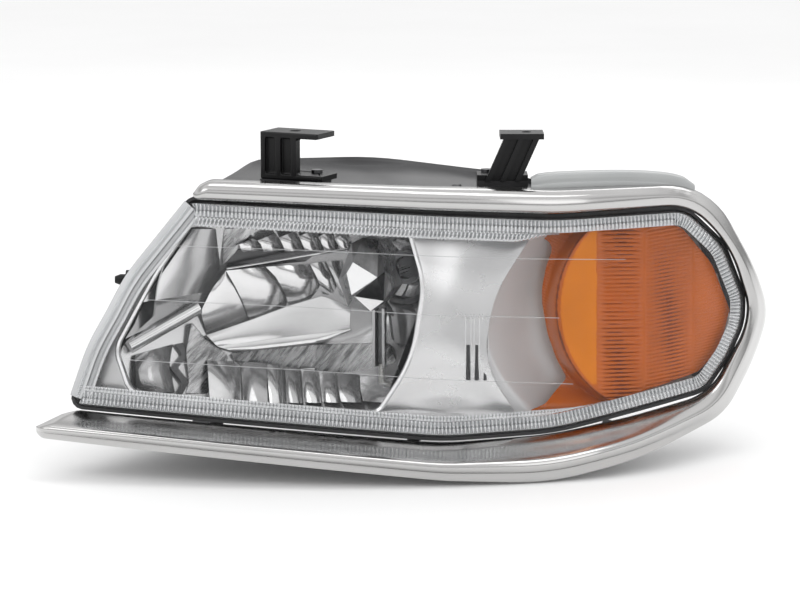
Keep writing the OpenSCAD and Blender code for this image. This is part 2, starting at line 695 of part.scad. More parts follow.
module aim_bushing(nut, wall) {
    rearward([nut[0], wall - boss_reach, nut[2]]) difference() {
        union() {
            cylinder(r = bushing_r, h = 2 * boss_reach);
            translate([0, 0, 2 * boss_reach]) cylinder(r = 8, h = bushing_flange);
        }
        translate([0, 0, -1]) cylinder(r = screw_r + slack, h = 2 * boss_reach + 4);
    }
}
module aim_bushings() {
    color("ivory") place() {
        aim_bushing(vertical_nut, vertical_wall);
        aim_bushing(side_nut, side_wall);
    }
}

module aim_screw(nut, wall) {
    reach = 9;
    head = wall + boss_reach + bushing_flange + 0.2;
    color("silver") place() rearward([nut[0], nut[1] - reach, nut[2]]) {
        cylinder(r = screw_r, h = head - nut[1] + reach);
        translate([0, 0, head - nut[1] + reach]) cylinder(r = 5, h = 7, $fn = 6);
    }
}
module vertical_aim_screw() { aim_screw(vertical_nut, vertical_wall); }
module side_aim_screw() { aim_screw(side_nut, side_wall); }

module aim_nut(at) {
    color("ivory") place() rearward(at) difference() {
        sphere(r = nut_r);
        translate([0, 0, -nut_r - 1]) cylinder(r = screw_r + slack, h = 2 * nut_r + 2);
    }
}
module vertical_aim_nut() { aim_nut(vertical_nut); }
module side_aim_nut() { aim_nut(side_nut); }

// ---- main reflector and its bulb --------------------------------------------------------

// Reflecting surface round the bulb axis: facets share one focus and flatten outward
function facet_focal(r) = focal + focal_growth * max(0, r - 30);
function dish_y(x, z) =
    let (r = norm([x - bulb[0], z - bulb[2]]), f = facet_focal(r))
    bulb[1] + f - r * r / (4 * f);

dish_left = [-160, 4];
dish_right = [5, 4];
dish_upper = [dish_left, [-160, 54, 18], [5, 54, 14], dish_right];
dish_lower = [dish_left, [-160, -50, 18], [5, -50, 14], dish_right];
rim_left = [-191, -12];
rim_right = [24, -5];
rim_upper = [rim_left, [-145, 60, 12], [23, 60, 24], rim_right];
rim_lower = [rim_left, [-198, -68, 14], [5, -82, 16], rim_right];
dish_cuts = [3, 8, 3];
rim_back = 39;
hub_r = 27;
hub_end = 96;

module reflector_shell() {
    rows = 8;
    dish = ring_of(dish_upper, dish_lower, dish_cuts);
    rim = ring_of(rim_upper, rim_lower, dish_cuts);
    laid = function (p) [p[0], dish_y(p[0], p[2]), p[2]];
    in_plane = function (ring, d) [for (p = ring) [p[0], dish_y(p[0], p[1]) + d, p[1]]];
    outer = grow(dish, reflector_wall);
    shell(
        cap(in_plane(dish, 0), rows, laid),
        [
            [for (p = on_face(rim, rim_back)) car(p)],
            [for (p = on_face(grow(rim, reflector_wall), rim_back)) car(p)]
        ],
        cap([for (i = [0 : len(dish) - 1])
                [outer[i][0], dish_y(dish[i][0], dish[i][1]) + reflector_wall, outer[i][1]]],
            rows, function (p) laid(p) + [0, reflector_wall, 0]),
        rows);
}

// Block behind the reflector with a cross channel in which an aiming nut's ball slides
nut_block = [26, 21];
module nut_block_at(at, front) {
    translate([at[0] - nut_block[0] / 2, front, at[2] - nut_block[1] / 2])
        cube([nut_block[0], at[1] + 3.5 - front, nut_block[1]]);
}
module nut_channel(at, front) {
    travel = 2.6;
    r = nut_r + channel_gap;
    translate(at - [travel + r, 0, 0]) rotate([0, 90, 0]) cylinder(r = r, h = 2 * (travel + r));
    translate([at[0], front, at[2]]) rotate([-90, 0, 0]) cylinder(r = screw_r + 2.2, h = 30);
}

shield_front = 20;
shield_r = 26;
foot_z = -58;
rivet_at = [bulb[0], 45.8, foot_z];
axle = [bulb[0] + 30, 97.1, bulb[2]];
axle_half = 24;

module main_reflector() {
    v_front = 34;
    s_front = 77;
    p_front = 34;
    color("whitesmoke") place() difference() {
        union() {
            reflector_shell();
            rearward([bulb[0], 84, bulb[2]]) cylinder(r = hub_r, h = hub_end - 84);
            rearward([pivot[0], p_front, pivot[2]]) cylinder(r = 12, h = pivot[1] + 3.5 - p_front);
            for (p = [pivot, vertical_nut]) translate([p[0] - 12, 22, p[2] - 2]) cube([12, 16, 4]);
            translate([-8, 73.2, side_nut[2] - 2]) cube([16, 7, 4]);
            nut_block_at(vertical_nut, v_front);
            nut_block_at(side_nut, s_front);
            translate([rivet_at[0] - 8, 42, foot_z - 12]) cube([16, 14, 12]);
            for (side = [-1, 1])
                translate([axle[0] - 5, 80, axle[2] + side * 22 - 2]) cube([8, axle[1] + 2.5 - 80, 4]);
        }
        rearward([bulb[0], 60, bulb[2]]) cylinder(r = bulb_hole_r, h = 32);
        rearward([bulb[0], 60, bulb[2]]) cylinder(r = 19, h = 50);
        rearward([bulb[0], seat_y, bulb[2]]) cylinder(r = 21.7, h = 20);
        translate(pivot) sphere(r = socket_r + 0.3);
        nut_channel(vertical_nut, v_front - 1);
        nut_channel(side_nut, s_front - 5);
        translate(rivet_at - [0, 0, 20]) cylinder(r = 2, h = 30);
        translate(axle - [0, 0, axle_half + 2]) cylinder(r = 1.05, h = 2 * axle_half + 4);
    }
}

module bulb_shield() {
    wall = 1;
    depth = 24;
    color("silver") place() difference() {
        union() {
            rearward([bulb[0], shield_front, bulb[2]]) difference() {
                cylinder(r = shield_r, h = depth);
                translate([0, 0, wall]) cylinder(r = shield_r - wall, h = depth);
            }
            translate([bulb[0] - 4.5, 42, foot_z]) cube([9, 2, bulb[2] - shield_r + 1.5 - foot_z]);
            translate([bulb[0] - 6, 42, foot_z]) cube([12, 7, 1.5]);
        }
        translate(rivet_at - [0, 0, 1]) cylinder(r = 2, h = 4);
    }
}

module shield_rivet() {
    color("silver") place() translate(rivet_at) {
        translate([0, 0, -13]) cylinder(r = 2, h = 14.5);
        translate([0, 0, 1.5]) cylinder(r1 = 3.6, r2 = 2.4, h = 1.4);
    }
}

glass_r = 8.3;
module bulb_glass() {
    color("lightcyan", 0.5) place() rearward([bulb[0], 34, bulb[2]]) rotate_extrude()
        polygon([
            [0, 0], [4.5, 1], [7.4, 3.6], [glass_r, 8], [glass_r, 54],
            [glass_r - 1, 54], [glass_r - 1, 8], [6.4, 4.4], [4, 2], [0, 1]
        ]);
}

module bulb_base() {
    color("silver") place() rearward([bulb[0], seat_y, bulb[2]]) difference() {
        union() {
            translate([0, 0, -10]) cylinder(r = 12, h = 10);
            cylinder(r = 21.5, h = 2);
            translate([0, 0, 2]) cylinder(r = 14, h = 6);
        }
        translate([0, 0, -11]) cylinder(r = glass_r, h = 5);
        for (t = terminal_spots) translate([t[0] - t[2] / 2, t[1] - t[3] / 2, 1]) cube([t[2], t[3], 8]);
    }
}

// Terminal blades round the axis: [across, up, width, height]
terminal_spots = [[-8, 0, 0.8, 8], [8, 0, 0.8, 8], [0, 8, 8, 0.8]];
module bulb_terminals() {
    color("goldenrod") place() rearward([bulb[0], seat_y, bulb[2]])
        for (t = terminal_spots) translate([t[0] - t[2] / 2, t[1] - t[3] / 2, 1]) cube([t[2], t[3], 21]);
}

module bulb_filaments() {
    color("gray") place() rearward([bulb[0], bulb[1], bulb[2]]) {
        translate([0, 0, -2.5]) cylinder(r = 0.8, h = 5);
        translate([0, 0, 6]) cylinder(r = 0.8, h = 5);
        for (x = [-2, 2]) translate([x, 0, -2]) cylinder(r = 0.35, h = 29.5);
        for (z = [-2, 2, 6.5, 10.5]) translate([-2, 0, z]) rotate([0, 90, 0]) cylinder(r = 0.3, h = 4);
        difference() {
            translate([0, 0, -3.5]) cylinder(r = 3.6, h = 7);
            translate([0, 0, -4.5]) cylinder(r = 3, h = 9);
            translate([-5, -5, -5]) cube([10, 6.5, 10]);
        }
        translate([0, 3.3, 3]) cylinder(r = 0.35, h = 24.5);
    }
}

clip_r = 1;
clip_span = 16.5;
module bulb_clip() {
    reach = 59;
    color("silver") place() translate(axle) {
        translate([0, 0, -axle_half]) cylinder(r = clip_r, h = 2 * axle_half);
        for (side = [-1, 1]) translate([0, 0, side * clip_span]) rotate([0, -90, 0]) cylinder(r = clip_r, h = reach);
        for (side = [-1, 1]) translate([-reach, 0, side * clip_span]) sphere(r = clip_r);
        translate([-reach, 0, -clip_span]) cylinder(r = clip_r, h = 2 * clip_span);
    }
}

// ---- rear plugs --------------------------------------------------------------------------

// A round twist-in plug along +Z: barrel with lugs, flange, grip bar
module twist_plug(r, hole_depth, lug_at, lug_w, flange, grip) {
    translate([0, 0, lug_at]) difference() {
        cylinder(r = r, h = hole_depth + 2 - lug_at);
        translate([0, 0, -1]) cylinder(r = r - 3, h = hole_depth + 2 - lug_at);
    }
    translate([0, 0, hole_depth + 2]) cylinder(r = flange, h = 3);
    translate([0, 0, hole_depth + 5]) intersection() {
        translate([-grip[0] / 2, -grip[1] / 2, 0]) cube([grip[0], grip[1], grip[2]]);
        cylinder(r = grip[0] / 2, h = grip[2]);
    }
    rotate([0, 0, -lug_turn]) lugs(r, lug_at + 0.2, lug_at + 3.5, lug_w);
}

module ring_seal(inner, outer, at) {
    translate([0, 0, at + 0.02]) difference() {
        cylinder(r = outer, h = 1.96);
        translate([0, 0, -1]) cylinder(r = inner, h = 4);
    }
}

port_origin = [bulb[0], port_end - port_depth, bulb[2]];
module rear_cap() {
    color([0.07, 0.07, 0.07]) place() rearward(port_origin)
        twist_plug(port_r - 0.1, port_depth, 1.5, port_lug, port_r + port_wall + 1, [60, 12, 10]);
}
module rear_cap_seal() {
    color([0.04, 0.04, 0.04]) place() rearward(port_origin) ring_seal(port_r + 0.8, port_r + 4.6, port_depth);
}

module turn_socket() {
    color([0.5, 0.5, 0.5]) place() along_lens(turn_at, turn_hole) difference() {
        union() {
            twist_plug(turn_port_r - 0.1, turn_hole[1], 1, turn_hole[3], turn_port_r + 5, [28, 12, 13]);
            translate([0, 0, -8]) cylinder(r = 10, h = turn_hole[1] + 12);
        }
        translate([0, 0, -9]) cylinder(r = 7.5, h = 14);
    }
}
module turn_socket_seal() {
    color([0.04, 0.04, 0.04]) place() along_lens(turn_at, turn_hole)
        ring_seal(turn_port_r + 0.6, turn_port_r + 4, turn_hole[1]);
}
turn_bulb_r = 12.5;
module turn_bulb() {
    color("orange", 0.6) place() along_lens(turn_at, turn_hole) rotate_extrude()
        polygon([
            [0, -44], [6, -42.5], [10.5, -38], [turn_bulb_r, -32], [11, -26], [7.5, -20], [7.4, 3], [0, 3]
        ]);
}

module marker_socket() {
    color([0.5, 0.5, 0.5]) place() along_lens(marker_at, marker_hole) difference() {
        union() {
            twist_plug(marker_port_r - 0.1, marker_hole[1], 1, marker_hole[3], marker_port_r + 4.5, [20, 9, 10]);
            translate([0, 0, -4]) cylinder(r = 7, h = marker_hole[1] + 8);
        }
        translate([0, 0, -5]) cylinder(r = 4.8, h = 9);
    }
}
module marker_socket_seal() {
    color([0.04, 0.04, 0.04]) place() along_lens(marker_at, marker_hole)
        ring_seal(marker_port_r + 0.6, marker_port_r + 3.8, marker_hole[1]);
}
marker_bulb_r = 4.7;
module marker_bulb() {
    color("orange", 0.6) place() along_lens(marker_at, marker_hole) rotate_extrude()
        polygon([[0, -24], [3, -23], [marker_bulb_r, -19], [marker_bulb_r, 3], [0, 3]]);
}

housing();
lens();
lens_seal();
chrome_trim();
trim_clips();
fender_flange();
bezel();
bezel_screws();
turn_reflector();
amber_lens();
inner_bracket();
outer_bracket();
bracket_screws();
mounting_studs();
side_peg();
pivot_stud();
aim_bushings();
vent_elbows();
wiring_header();
header_pins();
pivot_socket();
main_reflector();
bulb_shield();
shield_rivet();
bulb_glass();
bulb_base();
bulb_filaments();
bulb_terminals();
bulb_clip();
vertical_aim_screw();
vertical_aim_nut();
side_aim_screw();
side_aim_nut();
rear_cap();
rear_cap_seal();
turn_socket();
turn_socket_seal();
turn_bulb();
marker_socket();
marker_socket_seal();
marker_bulb();
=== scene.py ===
import json
import math

import bpy
import numpy as np
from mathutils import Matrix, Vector


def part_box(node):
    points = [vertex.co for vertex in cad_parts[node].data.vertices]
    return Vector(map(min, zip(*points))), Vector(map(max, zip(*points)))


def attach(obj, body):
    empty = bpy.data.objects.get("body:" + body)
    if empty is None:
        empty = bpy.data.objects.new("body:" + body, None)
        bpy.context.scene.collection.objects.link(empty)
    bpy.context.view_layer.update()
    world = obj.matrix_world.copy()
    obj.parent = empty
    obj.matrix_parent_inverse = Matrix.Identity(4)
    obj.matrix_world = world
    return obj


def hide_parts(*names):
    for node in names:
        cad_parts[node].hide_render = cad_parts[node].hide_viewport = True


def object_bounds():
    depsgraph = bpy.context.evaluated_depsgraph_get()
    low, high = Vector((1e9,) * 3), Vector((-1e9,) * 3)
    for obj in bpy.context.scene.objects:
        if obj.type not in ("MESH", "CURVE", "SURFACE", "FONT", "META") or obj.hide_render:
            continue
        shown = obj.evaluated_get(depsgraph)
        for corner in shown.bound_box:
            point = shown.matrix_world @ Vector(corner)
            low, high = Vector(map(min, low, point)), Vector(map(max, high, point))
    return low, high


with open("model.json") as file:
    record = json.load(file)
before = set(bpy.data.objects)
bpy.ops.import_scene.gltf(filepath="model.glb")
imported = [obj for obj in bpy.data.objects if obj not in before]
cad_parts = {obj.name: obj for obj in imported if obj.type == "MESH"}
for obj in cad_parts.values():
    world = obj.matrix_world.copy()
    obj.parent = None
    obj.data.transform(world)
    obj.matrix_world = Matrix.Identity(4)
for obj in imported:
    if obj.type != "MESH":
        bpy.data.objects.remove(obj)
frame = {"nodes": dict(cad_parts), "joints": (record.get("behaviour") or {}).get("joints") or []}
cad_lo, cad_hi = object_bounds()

# ---- frame of the lens: across, back, up, in millimetres -------------------------------------
SWEEP, LEAN = math.radians(26), math.radians(8)
CS, SS, CL, SL = math.cos(SWEEP), math.sin(SWEEP), math.cos(LEAN), math.sin(LEAN)
joints = {j["name"]: j for j in frame["joints"]}
PIVOT = np.array([-146.0, 48.0, 48.0])
MIDDLE = np.array(joints["vertical_aim"]["pos_m"]) * 1000 - PIVOT
BULB = np.array([-37.0, 63.0, 9.0])         # like PIVOT, along the car's directions from the lens middle


def turn(p):
    """Lens-frame points to the car's directions, measured from the lens middle."""
    p = np.asarray(p, float)
    back = p[..., 1] * CL + p[..., 2] * SL
    up = p[..., 2] * CL - p[..., 1] * SL
    return np.stack([p[..., 0] * CS - back * SS, p[..., 0] * SS + back * CS, up], -1)


def row(p):
    """Lens-frame points in millimetres to the row frame in metres."""
    return (turn(p) + MIDDLE) * 0.001


def car_row(p):
    """Points along the car's own directions, in millimetres, to the row frame in metres."""
    return (np.asarray(p, float) + MIDDLE) * 0.001


def bow(u):
    """How far back the outer lens lies at a distance across it."""
    d = np.asarray(u, float) + 40
    return np.where(d < 0, 0.00055 * d * d, 0.0006 * d * d + 7.1e-9 * d ** 4)


# ---- outlines --------------------------------------------------------------------------------
def rounded(points, closed, steps=10):
    """Outline through (across, up, corner radius) points, with round corners."""
    pts = [np.array(p[:2], float) for p in points]
    n, out = len(pts), []
    for i in range(n):
        b = pts[i]
        radius = points[i][2] if len(points[i]) > 2 else 0
        if radius == 0 or (not closed and i in (0, n - 1)):
            out.append(b)
            continue
        a, c = pts[i - 1], pts[(i + 1) % n]
        p, q = (a - b) / np.linalg.norm(a - b), (c - b) / np.linalg.norm(c - b)
        half = math.acos(max(-1, min(1, float(p @ q)))) / 2
        run = min(radius / math.tan(half), 0.48 * np.linalg.norm(a - b), 0.48 * np.linalg.norm(c - b))
        centre = b + (p + q) / np.linalg.norm(p + q) * run / math.cos(half)
        start, end, angle = b + p * run - centre, b + q * run - centre, math.pi - 2 * half
        for k in range(steps + 1):
            t = k / steps
            out.append(centre + (start * math.sin(angle * (1 - t))
                                 + end * math.sin(angle * t)) / math.sin(angle))
    return np.array(out)


def even(path, count):
    """The path again, in count evenly spaced points."""
    p = np.asarray(path, float)
    run = np.concatenate([[0], np.cumsum(np.linalg.norm(np.diff(p, axis=0), axis=1))])
    at = np.linspace(0, run[-1], count)
    return np.stack([np.interp(at, run, p[:, k]) for k in range(p.shape[1])], 1)


def length(path):
    """Length of an open path."""
    return float(np.linalg.norm(np.diff(path, axis=0), axis=1).sum())


def grow(ring, d):
    """A closed clockwise ring moved outward by d."""
    t = np.roll(ring, -1, 0) - np.roll(ring, 1, 0)
    t /= np.linalg.norm(t, axis=1)[:, None]
    return ring + np.stack([-t[:, 1], t[:, 0]], 1) * d


def on_face(ring, d):
    """(across, up) points, placed d behind the outer lens."""
    return np.stack([ring[:, 0], bow(ring[:, 0]) + d, ring[:, 1]], 1)


def spline(points, count):
    """A smooth curve through the points (Catmull-Rom)."""
    p = np.asarray(points, float)
    p = np.vstack([2 * p[0] - p[1], p, 2 * p[-1] - p[-2]])
    out = []
    for t in np.linspace(0, len(points) - 1, count):
        i = min(int(t), len(points) - 2)
        f = t - i
        a, b, c, d = p[i], p[i + 1], p[i + 2], p[i + 3]
        out.append(0.5 * (2 * b + (c - a) * f + (2 * a - 5 * b + 4 * c - d) * f * f
                          + (3 * b - a - 3 * c + d) * f ** 3))
    return np.array(out)


def circle(count):
    """Angles once round, evenly spaced."""
    return np.linspace(0, 2 * math.pi, count + 1)[:-1]


def ease(t):
    """Smooth step from 0 to 1."""
    t = np.clip(t, 0, 1)
    return t * t * (3 - 2 * t)


# ---- meshes ----------------------------------------------------------------------------------
class Build:
    """Gathers vertices and faces of one piece, in metres in the row frame."""

    def __init__(self):
        self.v, self.f, self.m = [], [], []

    def add(self, verts, faces, mat=0):
        """Faces over new vertices."""
        base = len(self.v)
        self.v.extend([tuple(map(float, p)) for p in np.asarray(verts).reshape(-1, 3)])
        for f in faces:
            self.f.append([base + int(i) for i in f])
            self.m.append(mat)

    def grid(self, points, mat=0, close_rows=False, close_cols=False):
        """One sheet of quads through a grid of points."""
        rows, cols = points.shape[:2]
        faces = []
        for i in range(rows if close_rows else rows - 1):
            for j in range(cols if close_cols else cols - 1):
                a, b = i * cols + j, i * cols + (j + 1) % cols
                c, d = ((i + 1) % rows) * cols + (j + 1) % cols, ((i + 1) % rows) * cols + j
                faces.append([a, b, c, d])
        self.add(points.reshape(-1, 3), faces, mat)

    def slab(self, front, back, mat=0, side=None):
        """A closed solid between two grids of the same size; its back and edges take the side material."""
        rows, cols = front.shape[:2]
        n = rows * cols
        side = mat if side is None else side
        faces, mats = [], []
        for i in range(rows - 1):
            for j in range(cols - 1):
                a = i * cols + j
                faces.append([a, a + 1, a + cols + 1, a + cols])
                faces.append([n + k for k in (a, a + cols, a + cols + 1, a + 1)])
                mats += [mat, side]
        edge = ([(0, j) for j in range(cols)] + [(i, cols - 1) for i in range(1, rows)]
                + [(rows - 1, j) for j in range(cols - 2, -1, -1)]
                + [(i, 0) for i in range(rows - 2, 0, -1)])
        ids = [i * cols + j for i, j in edge]
        for a, b in zip(ids, ids[1:] + ids[:1]):
            faces.append([a, n + a, n + b, b])
            mats.append(side)
        base = len(self.v)
        points = np.vstack([front.reshape(-1, 3), back.reshape(-1, 3)])
        self.v.extend([tuple(map(float, p)) for p in points])
        for f, m in zip(faces, mats):
            self.f.append([base + i for i in f])
            self.m.append(m)

    def object(self, name, body, mats, smooth=40, slot=None, replaces=()):
        """The finished piece, riding on its body."""
        mesh = bpy.data.meshes.new(name)
        mesh.from_pydata(self.v, [], self.f)
        for m in mats:
            mesh.materials.append(m)
        mesh.polygons.foreach_set("material_index", self.m)
        mesh.validate()
        mesh.update()
        piece = bpy.data.objects.new(name, mesh)
        bpy.context.scene.collection.objects.link(piece)
        if smooth:
            smooth_by_angle(piece, smooth)
        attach(piece, body)
        if replaces:
            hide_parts(*replaces)
        return piece


def smoothing_group(angle):
    """Modifier nodes: weld the split corners, then shade smooth except across sharp edges."""
    name = f"smooth_{int(angle)}"
    if name in bpy.data.node_groups:
        return bpy.data.node_groups[name]
    g = bpy.data.node_groups.new(name, "GeometryNodeTree")
    g.interface.new_socket("Geometry", in_out="INPUT", socket_type="NodeSocketGeometry")
    g.interface.new_socket("Geometry", in_out="OUTPUT", socket_type="NodeSocketGeometry")
    n = g.nodes
    start, end = n.new("NodeGroupInput"), n.new("NodeGroupOutput")
    weld = n.new("GeometryNodeMergeByDistance")
    weld.inputs["Distance"].default_value = 2e-6
    face, edge = n.new("GeometryNodeSetShadeSmooth"), n.new("GeometryNodeSetShadeSmooth")
    face.domain, edge.domain = "FACE", "EDGE"
    between = n.new("GeometryNodeInputMeshEdgeAngle")
    sharp = n.new("FunctionNodeCompare")
    sharp.operation = "GREATER_THAN"
    sharp.inputs[1].default_value = math.radians(angle)
    edge.inputs["Shade Smooth"].default_value = False
    face.inputs["Shade Smooth"].default_value = True
    link = g.links.new
    link(start.outputs[0], weld.inputs["Geometry"])
    link(weld.outputs[0], face.inputs["Geometry"])
    link(face.outputs[0], edge.inputs["Geometry"])
    link(between.outputs["Unsigned Angle"], sharp.inputs[0])
    link(sharp.outputs[0], edge.inputs["Selection"])
    link(edge.outputs[0], end.inputs[0])
    return g


def smooth_by_angle(piece, angle=35):
    """Smooth shading with sharp edges above the angle."""
    m = piece.modifiers.new("smooth", "NODES")
    m.node_group = smoothing_group(angle)


# ---- materials -------------------------------------------------------------------------------
def material(name, colour, rough, metal=0.0, grain=60, speckle=0.0, bump=0.0, bump_scale=900.0,
             stretch=None, spin=0.0, rough_span=0.1, clear=0.0, clear_colour=(1, 1, 1),
             edge_clear=False, spec=0.5):
    """Principled material with noise in colour and roughness, fine bump, and a see-through share."""
    m = bpy.data.materials.new(name)
    m.use_nodes = True
    nt = m.node_tree
    nt.nodes.clear()
    out = nt.nodes.new("ShaderNodeOutputMaterial")
    bsdf = nt.nodes.new("ShaderNodeBsdfPrincipled")
    link = nt.links.new
    bsdf.inputs["Metallic"].default_value = metal
    bsdf.inputs["IOR"].default_value = 1.5
    bsdf.inputs["Specular IOR Level"].default_value = spec
    coords = nt.nodes.new("ShaderNodeTexCoord")
    mapping = nt.nodes.new("ShaderNodeMapping")
    link(coords.outputs["Object"], mapping.inputs["Vector"])
    if stretch:
        mapping.vector_type = "TEXTURE"
        mapping.inputs["Scale"].default_value = [1 / k for k in stretch]
        mapping.inputs["Rotation"].default_value = (0, math.radians(spin), 0)
    noise = nt.nodes.new("ShaderNodeTexNoise")
    noise.inputs["Scale"].default_value = grain
    noise.inputs["Detail"].default_value = 6
    noise.inputs["Roughness"].default_value = 0.6
    link(mapping.outputs[0], noise.inputs["Vector"])
    ramp = nt.nodes.new("ShaderNodeValToRGB")
    lo = [max(0.0, c * (1 - speckle)) for c in colour]
    hi = [min(1.0, c * (1 + speckle)) for c in colour]
    ramp.color_ramp.elements[0].position, ramp.color_ramp.elements[1].position = 0.3, 0.7
    ramp.color_ramp.elements[0].color = (*lo, 1)
    ramp.color_ramp.elements[1].color = (*hi, 1)
    link(noise.outputs["Fac"], ramp.inputs["Fac"])
    link(ramp.outputs["Color"], bsdf.inputs["Base Color"])
    span = nt.nodes.new("ShaderNodeMapRange")
    span.inputs["From Min"].default_value, span.inputs["From Max"].default_value = 0.25, 0.75
    span.inputs["To Min"].default_value = max(0.01, rough * (1 - rough_span))
    span.inputs["To Max"].default_value = min(1.0, rough * (1 + rough_span))
    fine = nt.nodes.new("ShaderNodeTexNoise")
    fine.inputs["Scale"].default_value = bump_scale
    fine.inputs["Detail"].default_value = 3
    link(mapping.outputs[0], fine.inputs["Vector"])
    link(noise.outputs["Fac"], span.inputs["Value"])
    link(span.outputs[0], bsdf.inputs["Roughness"])
    if bump:
        b = nt.nodes.new("ShaderNodeBump")
        b.inputs["Strength"].default_value = bump
        b.inputs["Distance"].default_value = 0.0003
        link(fine.outputs["Fac"], b.inputs["Height"])
        link(b.outputs[0], bsdf.inputs["Normal"])
    if clear:
        mix = nt.nodes.new("ShaderNodeMixShader")
        through = nt.nodes.new("ShaderNodeBsdfTransparent")
        through.inputs["Color"].default_value = (*clear_colour, 1)
        if edge_clear:
            facing = nt.nodes.new("ShaderNodeLayerWeight")
            facing.inputs["Blend"].default_value = 0.25
            share = nt.nodes.new("ShaderNodeMapRange")
            share.inputs["To Min"].default_value = 1 - clear
            share.inputs["To Max"].default_value = 0.22
            link(facing.outputs["Facing"], share.inputs["Value"])
            link(share.outputs[0], mix.inputs["Fac"])
        else:
            mix.inputs["Fac"].default_value = 1 - clear
        link(through.outputs[0], mix.inputs[1])
        link(bsdf.outputs[0], mix.inputs[2])
        link(mix.outputs[0], out.inputs["Surface"])
    else:
        link(bsdf.outputs[0], out.inputs["Surface"])
    return m


M = {
    "housing": material("housing_plastic", (0.030, 0.030, 0.032), 0.38, grain=25, speckle=0.25,
                        bump=0.25, bump_scale=1500),
    "clear": material("clear_plastic", (0.45, 0.46, 0.47), 0.03, grain=12, speckle=0.02, clear=0.96,
                      edge_clear=True),
    "flute": material("flute_plastic", (0.72, 0.73, 0.74), 0.08, metal=1.0, grain=40, speckle=0.08,
                      clear=0.30),
    "aim_line": material("aim_line_plastic", (0.72, 0.72, 0.73), 0.2, grain=30, speckle=0.05, clear=0.35),
    "seal": material("seal_rubber", (0.012, 0.012, 0.013), 0.45, grain=80, speckle=0.4, bump=0.4),
    "trim": material("bright_trim", (0.56, 0.555, 0.55), 0.17, metal=1, grain=9, speckle=0.03,
                     rough_span=0.2),
    "mirror": material("metallised", (0.86, 0.86, 0.865), 0.12, metal=0.82, grain=30, speckle=0.04,
                       rough_span=0.5),
    # grey copy of the reflector's aluminising: painted shade for facets and walls drawn darker than the
    # bright metal
    "mirror_shaded": material("metallised_painted_shade", (0.58, 0.58, 0.585), 0.17, metal=0.78, grain=30,
                           speckle=0.12, rough_span=0.5),
    # near-black copy of the aluminising: painted shade for facet walls, steps, recesses, the bulb hole's
    # rim and the hood's shaded faces
    "mirror_dark_shade": material("metallised_painted_dark_shade", (0.08, 0.08, 0.082), 0.2, metal=1, grain=40, speckle=0.3,
                            rough_span=0.5),
    "brushed": material("metallised_brushed", (0.42, 0.42, 0.425), 0.26, metal=1, grain=110, speckle=0.7,
                        stretch=(0.5, 0.5, 3.5), spin=-55, rough_span=0.6),
    "bezel": material("bezel_silver", (0.70, 0.70, 0.705), 0.27, metal=0.9, grain=14, speckle=0.03,
                      rough_span=0.15),
    # brightened copy of the bezel silver: a painted highlight on the opening's rim and the louvre lips
    "rim": material("bezel_rim_highlight", (0.95, 0.95, 0.96), 0.2, metal=0.6, grain=20, speckle=0.03),
    "pocket": material("pocket_silver", (0.60, 0.60, 0.605), 0.42, metal=0.25, grain=18, speckle=0.04,
                       rough_span=0.1),
    "louvre": material("louvre_shadow", (0.03, 0.03, 0.032), 0.5, grain=50, speckle=0.3),
    "flange": material("flange_grey", (0.40, 0.41, 0.41), 0.35, metal=0.15, grain=22, speckle=0.05,
                       rough_span=0.1),
    "bracket": material("bracket_black", (0.006, 0.006, 0.0065), 0.36, grain=60, speckle=0.35, bump=0.35,
                        bump_scale=1800, spec=0.3),
    "zinc": material("zinc_steel", (0.60, 0.60, 0.58), 0.28, metal=1, grain=120, speckle=0.12, bump=0.1),
    "dark_steel": material("dark_steel", (0.13, 0.13, 0.135), 0.35, metal=1, grain=120, speckle=0.2,
                           bump=0.15),
    "nylon": material("natural_nylon", (0.74, 0.71, 0.63), 0.42, grain=70, speckle=0.06, bump=0.15),
    "nickel": material("nickel", (0.62, 0.61, 0.59), 0.2, metal=1, grain=70, speckle=0.1),
    "shield_brushed": material("shield_brushed", (0.46, 0.46, 0.465), 0.3, metal=1, grain=90, speckle=0.4,
                               stretch=(1, 1, 0.2), rough_span=0.5),
    # the glass's grey is kept dark as painted shade, so the bulb reads dark in its hole
    "bulb": material("bulb_clear", (0.25, 0.26, 0.27), 0.04, grain=20, speckle=0.02, clear=0.93,
                     edge_clear=True),
    "bulb_amber": material("bulb_amber", (0.80, 0.26, 0.02), 0.08, grain=25, speckle=0.08, clear=0.35,
                           clear_colour=(1, 0.5, 0.1)),
    "tungsten": material("tungsten", (0.28, 0.27, 0.26), 0.35, metal=1, grain=200, speckle=0.2),
    "brass": material("contact_brass", (0.66, 0.48, 0.20), 0.3, metal=1, grain=100, speckle=0.12),
    "socket": material("socket_grey", (0.10, 0.10, 0.105), 0.42, grain=60, speckle=0.2, bump=0.2,
                       bump_scale=1500),
    "cap": material("cap_black", (0.014, 0.014, 0.015), 0.36, grain=50, speckle=0.3, bump=0.3,
                    bump_scale=1500),
}

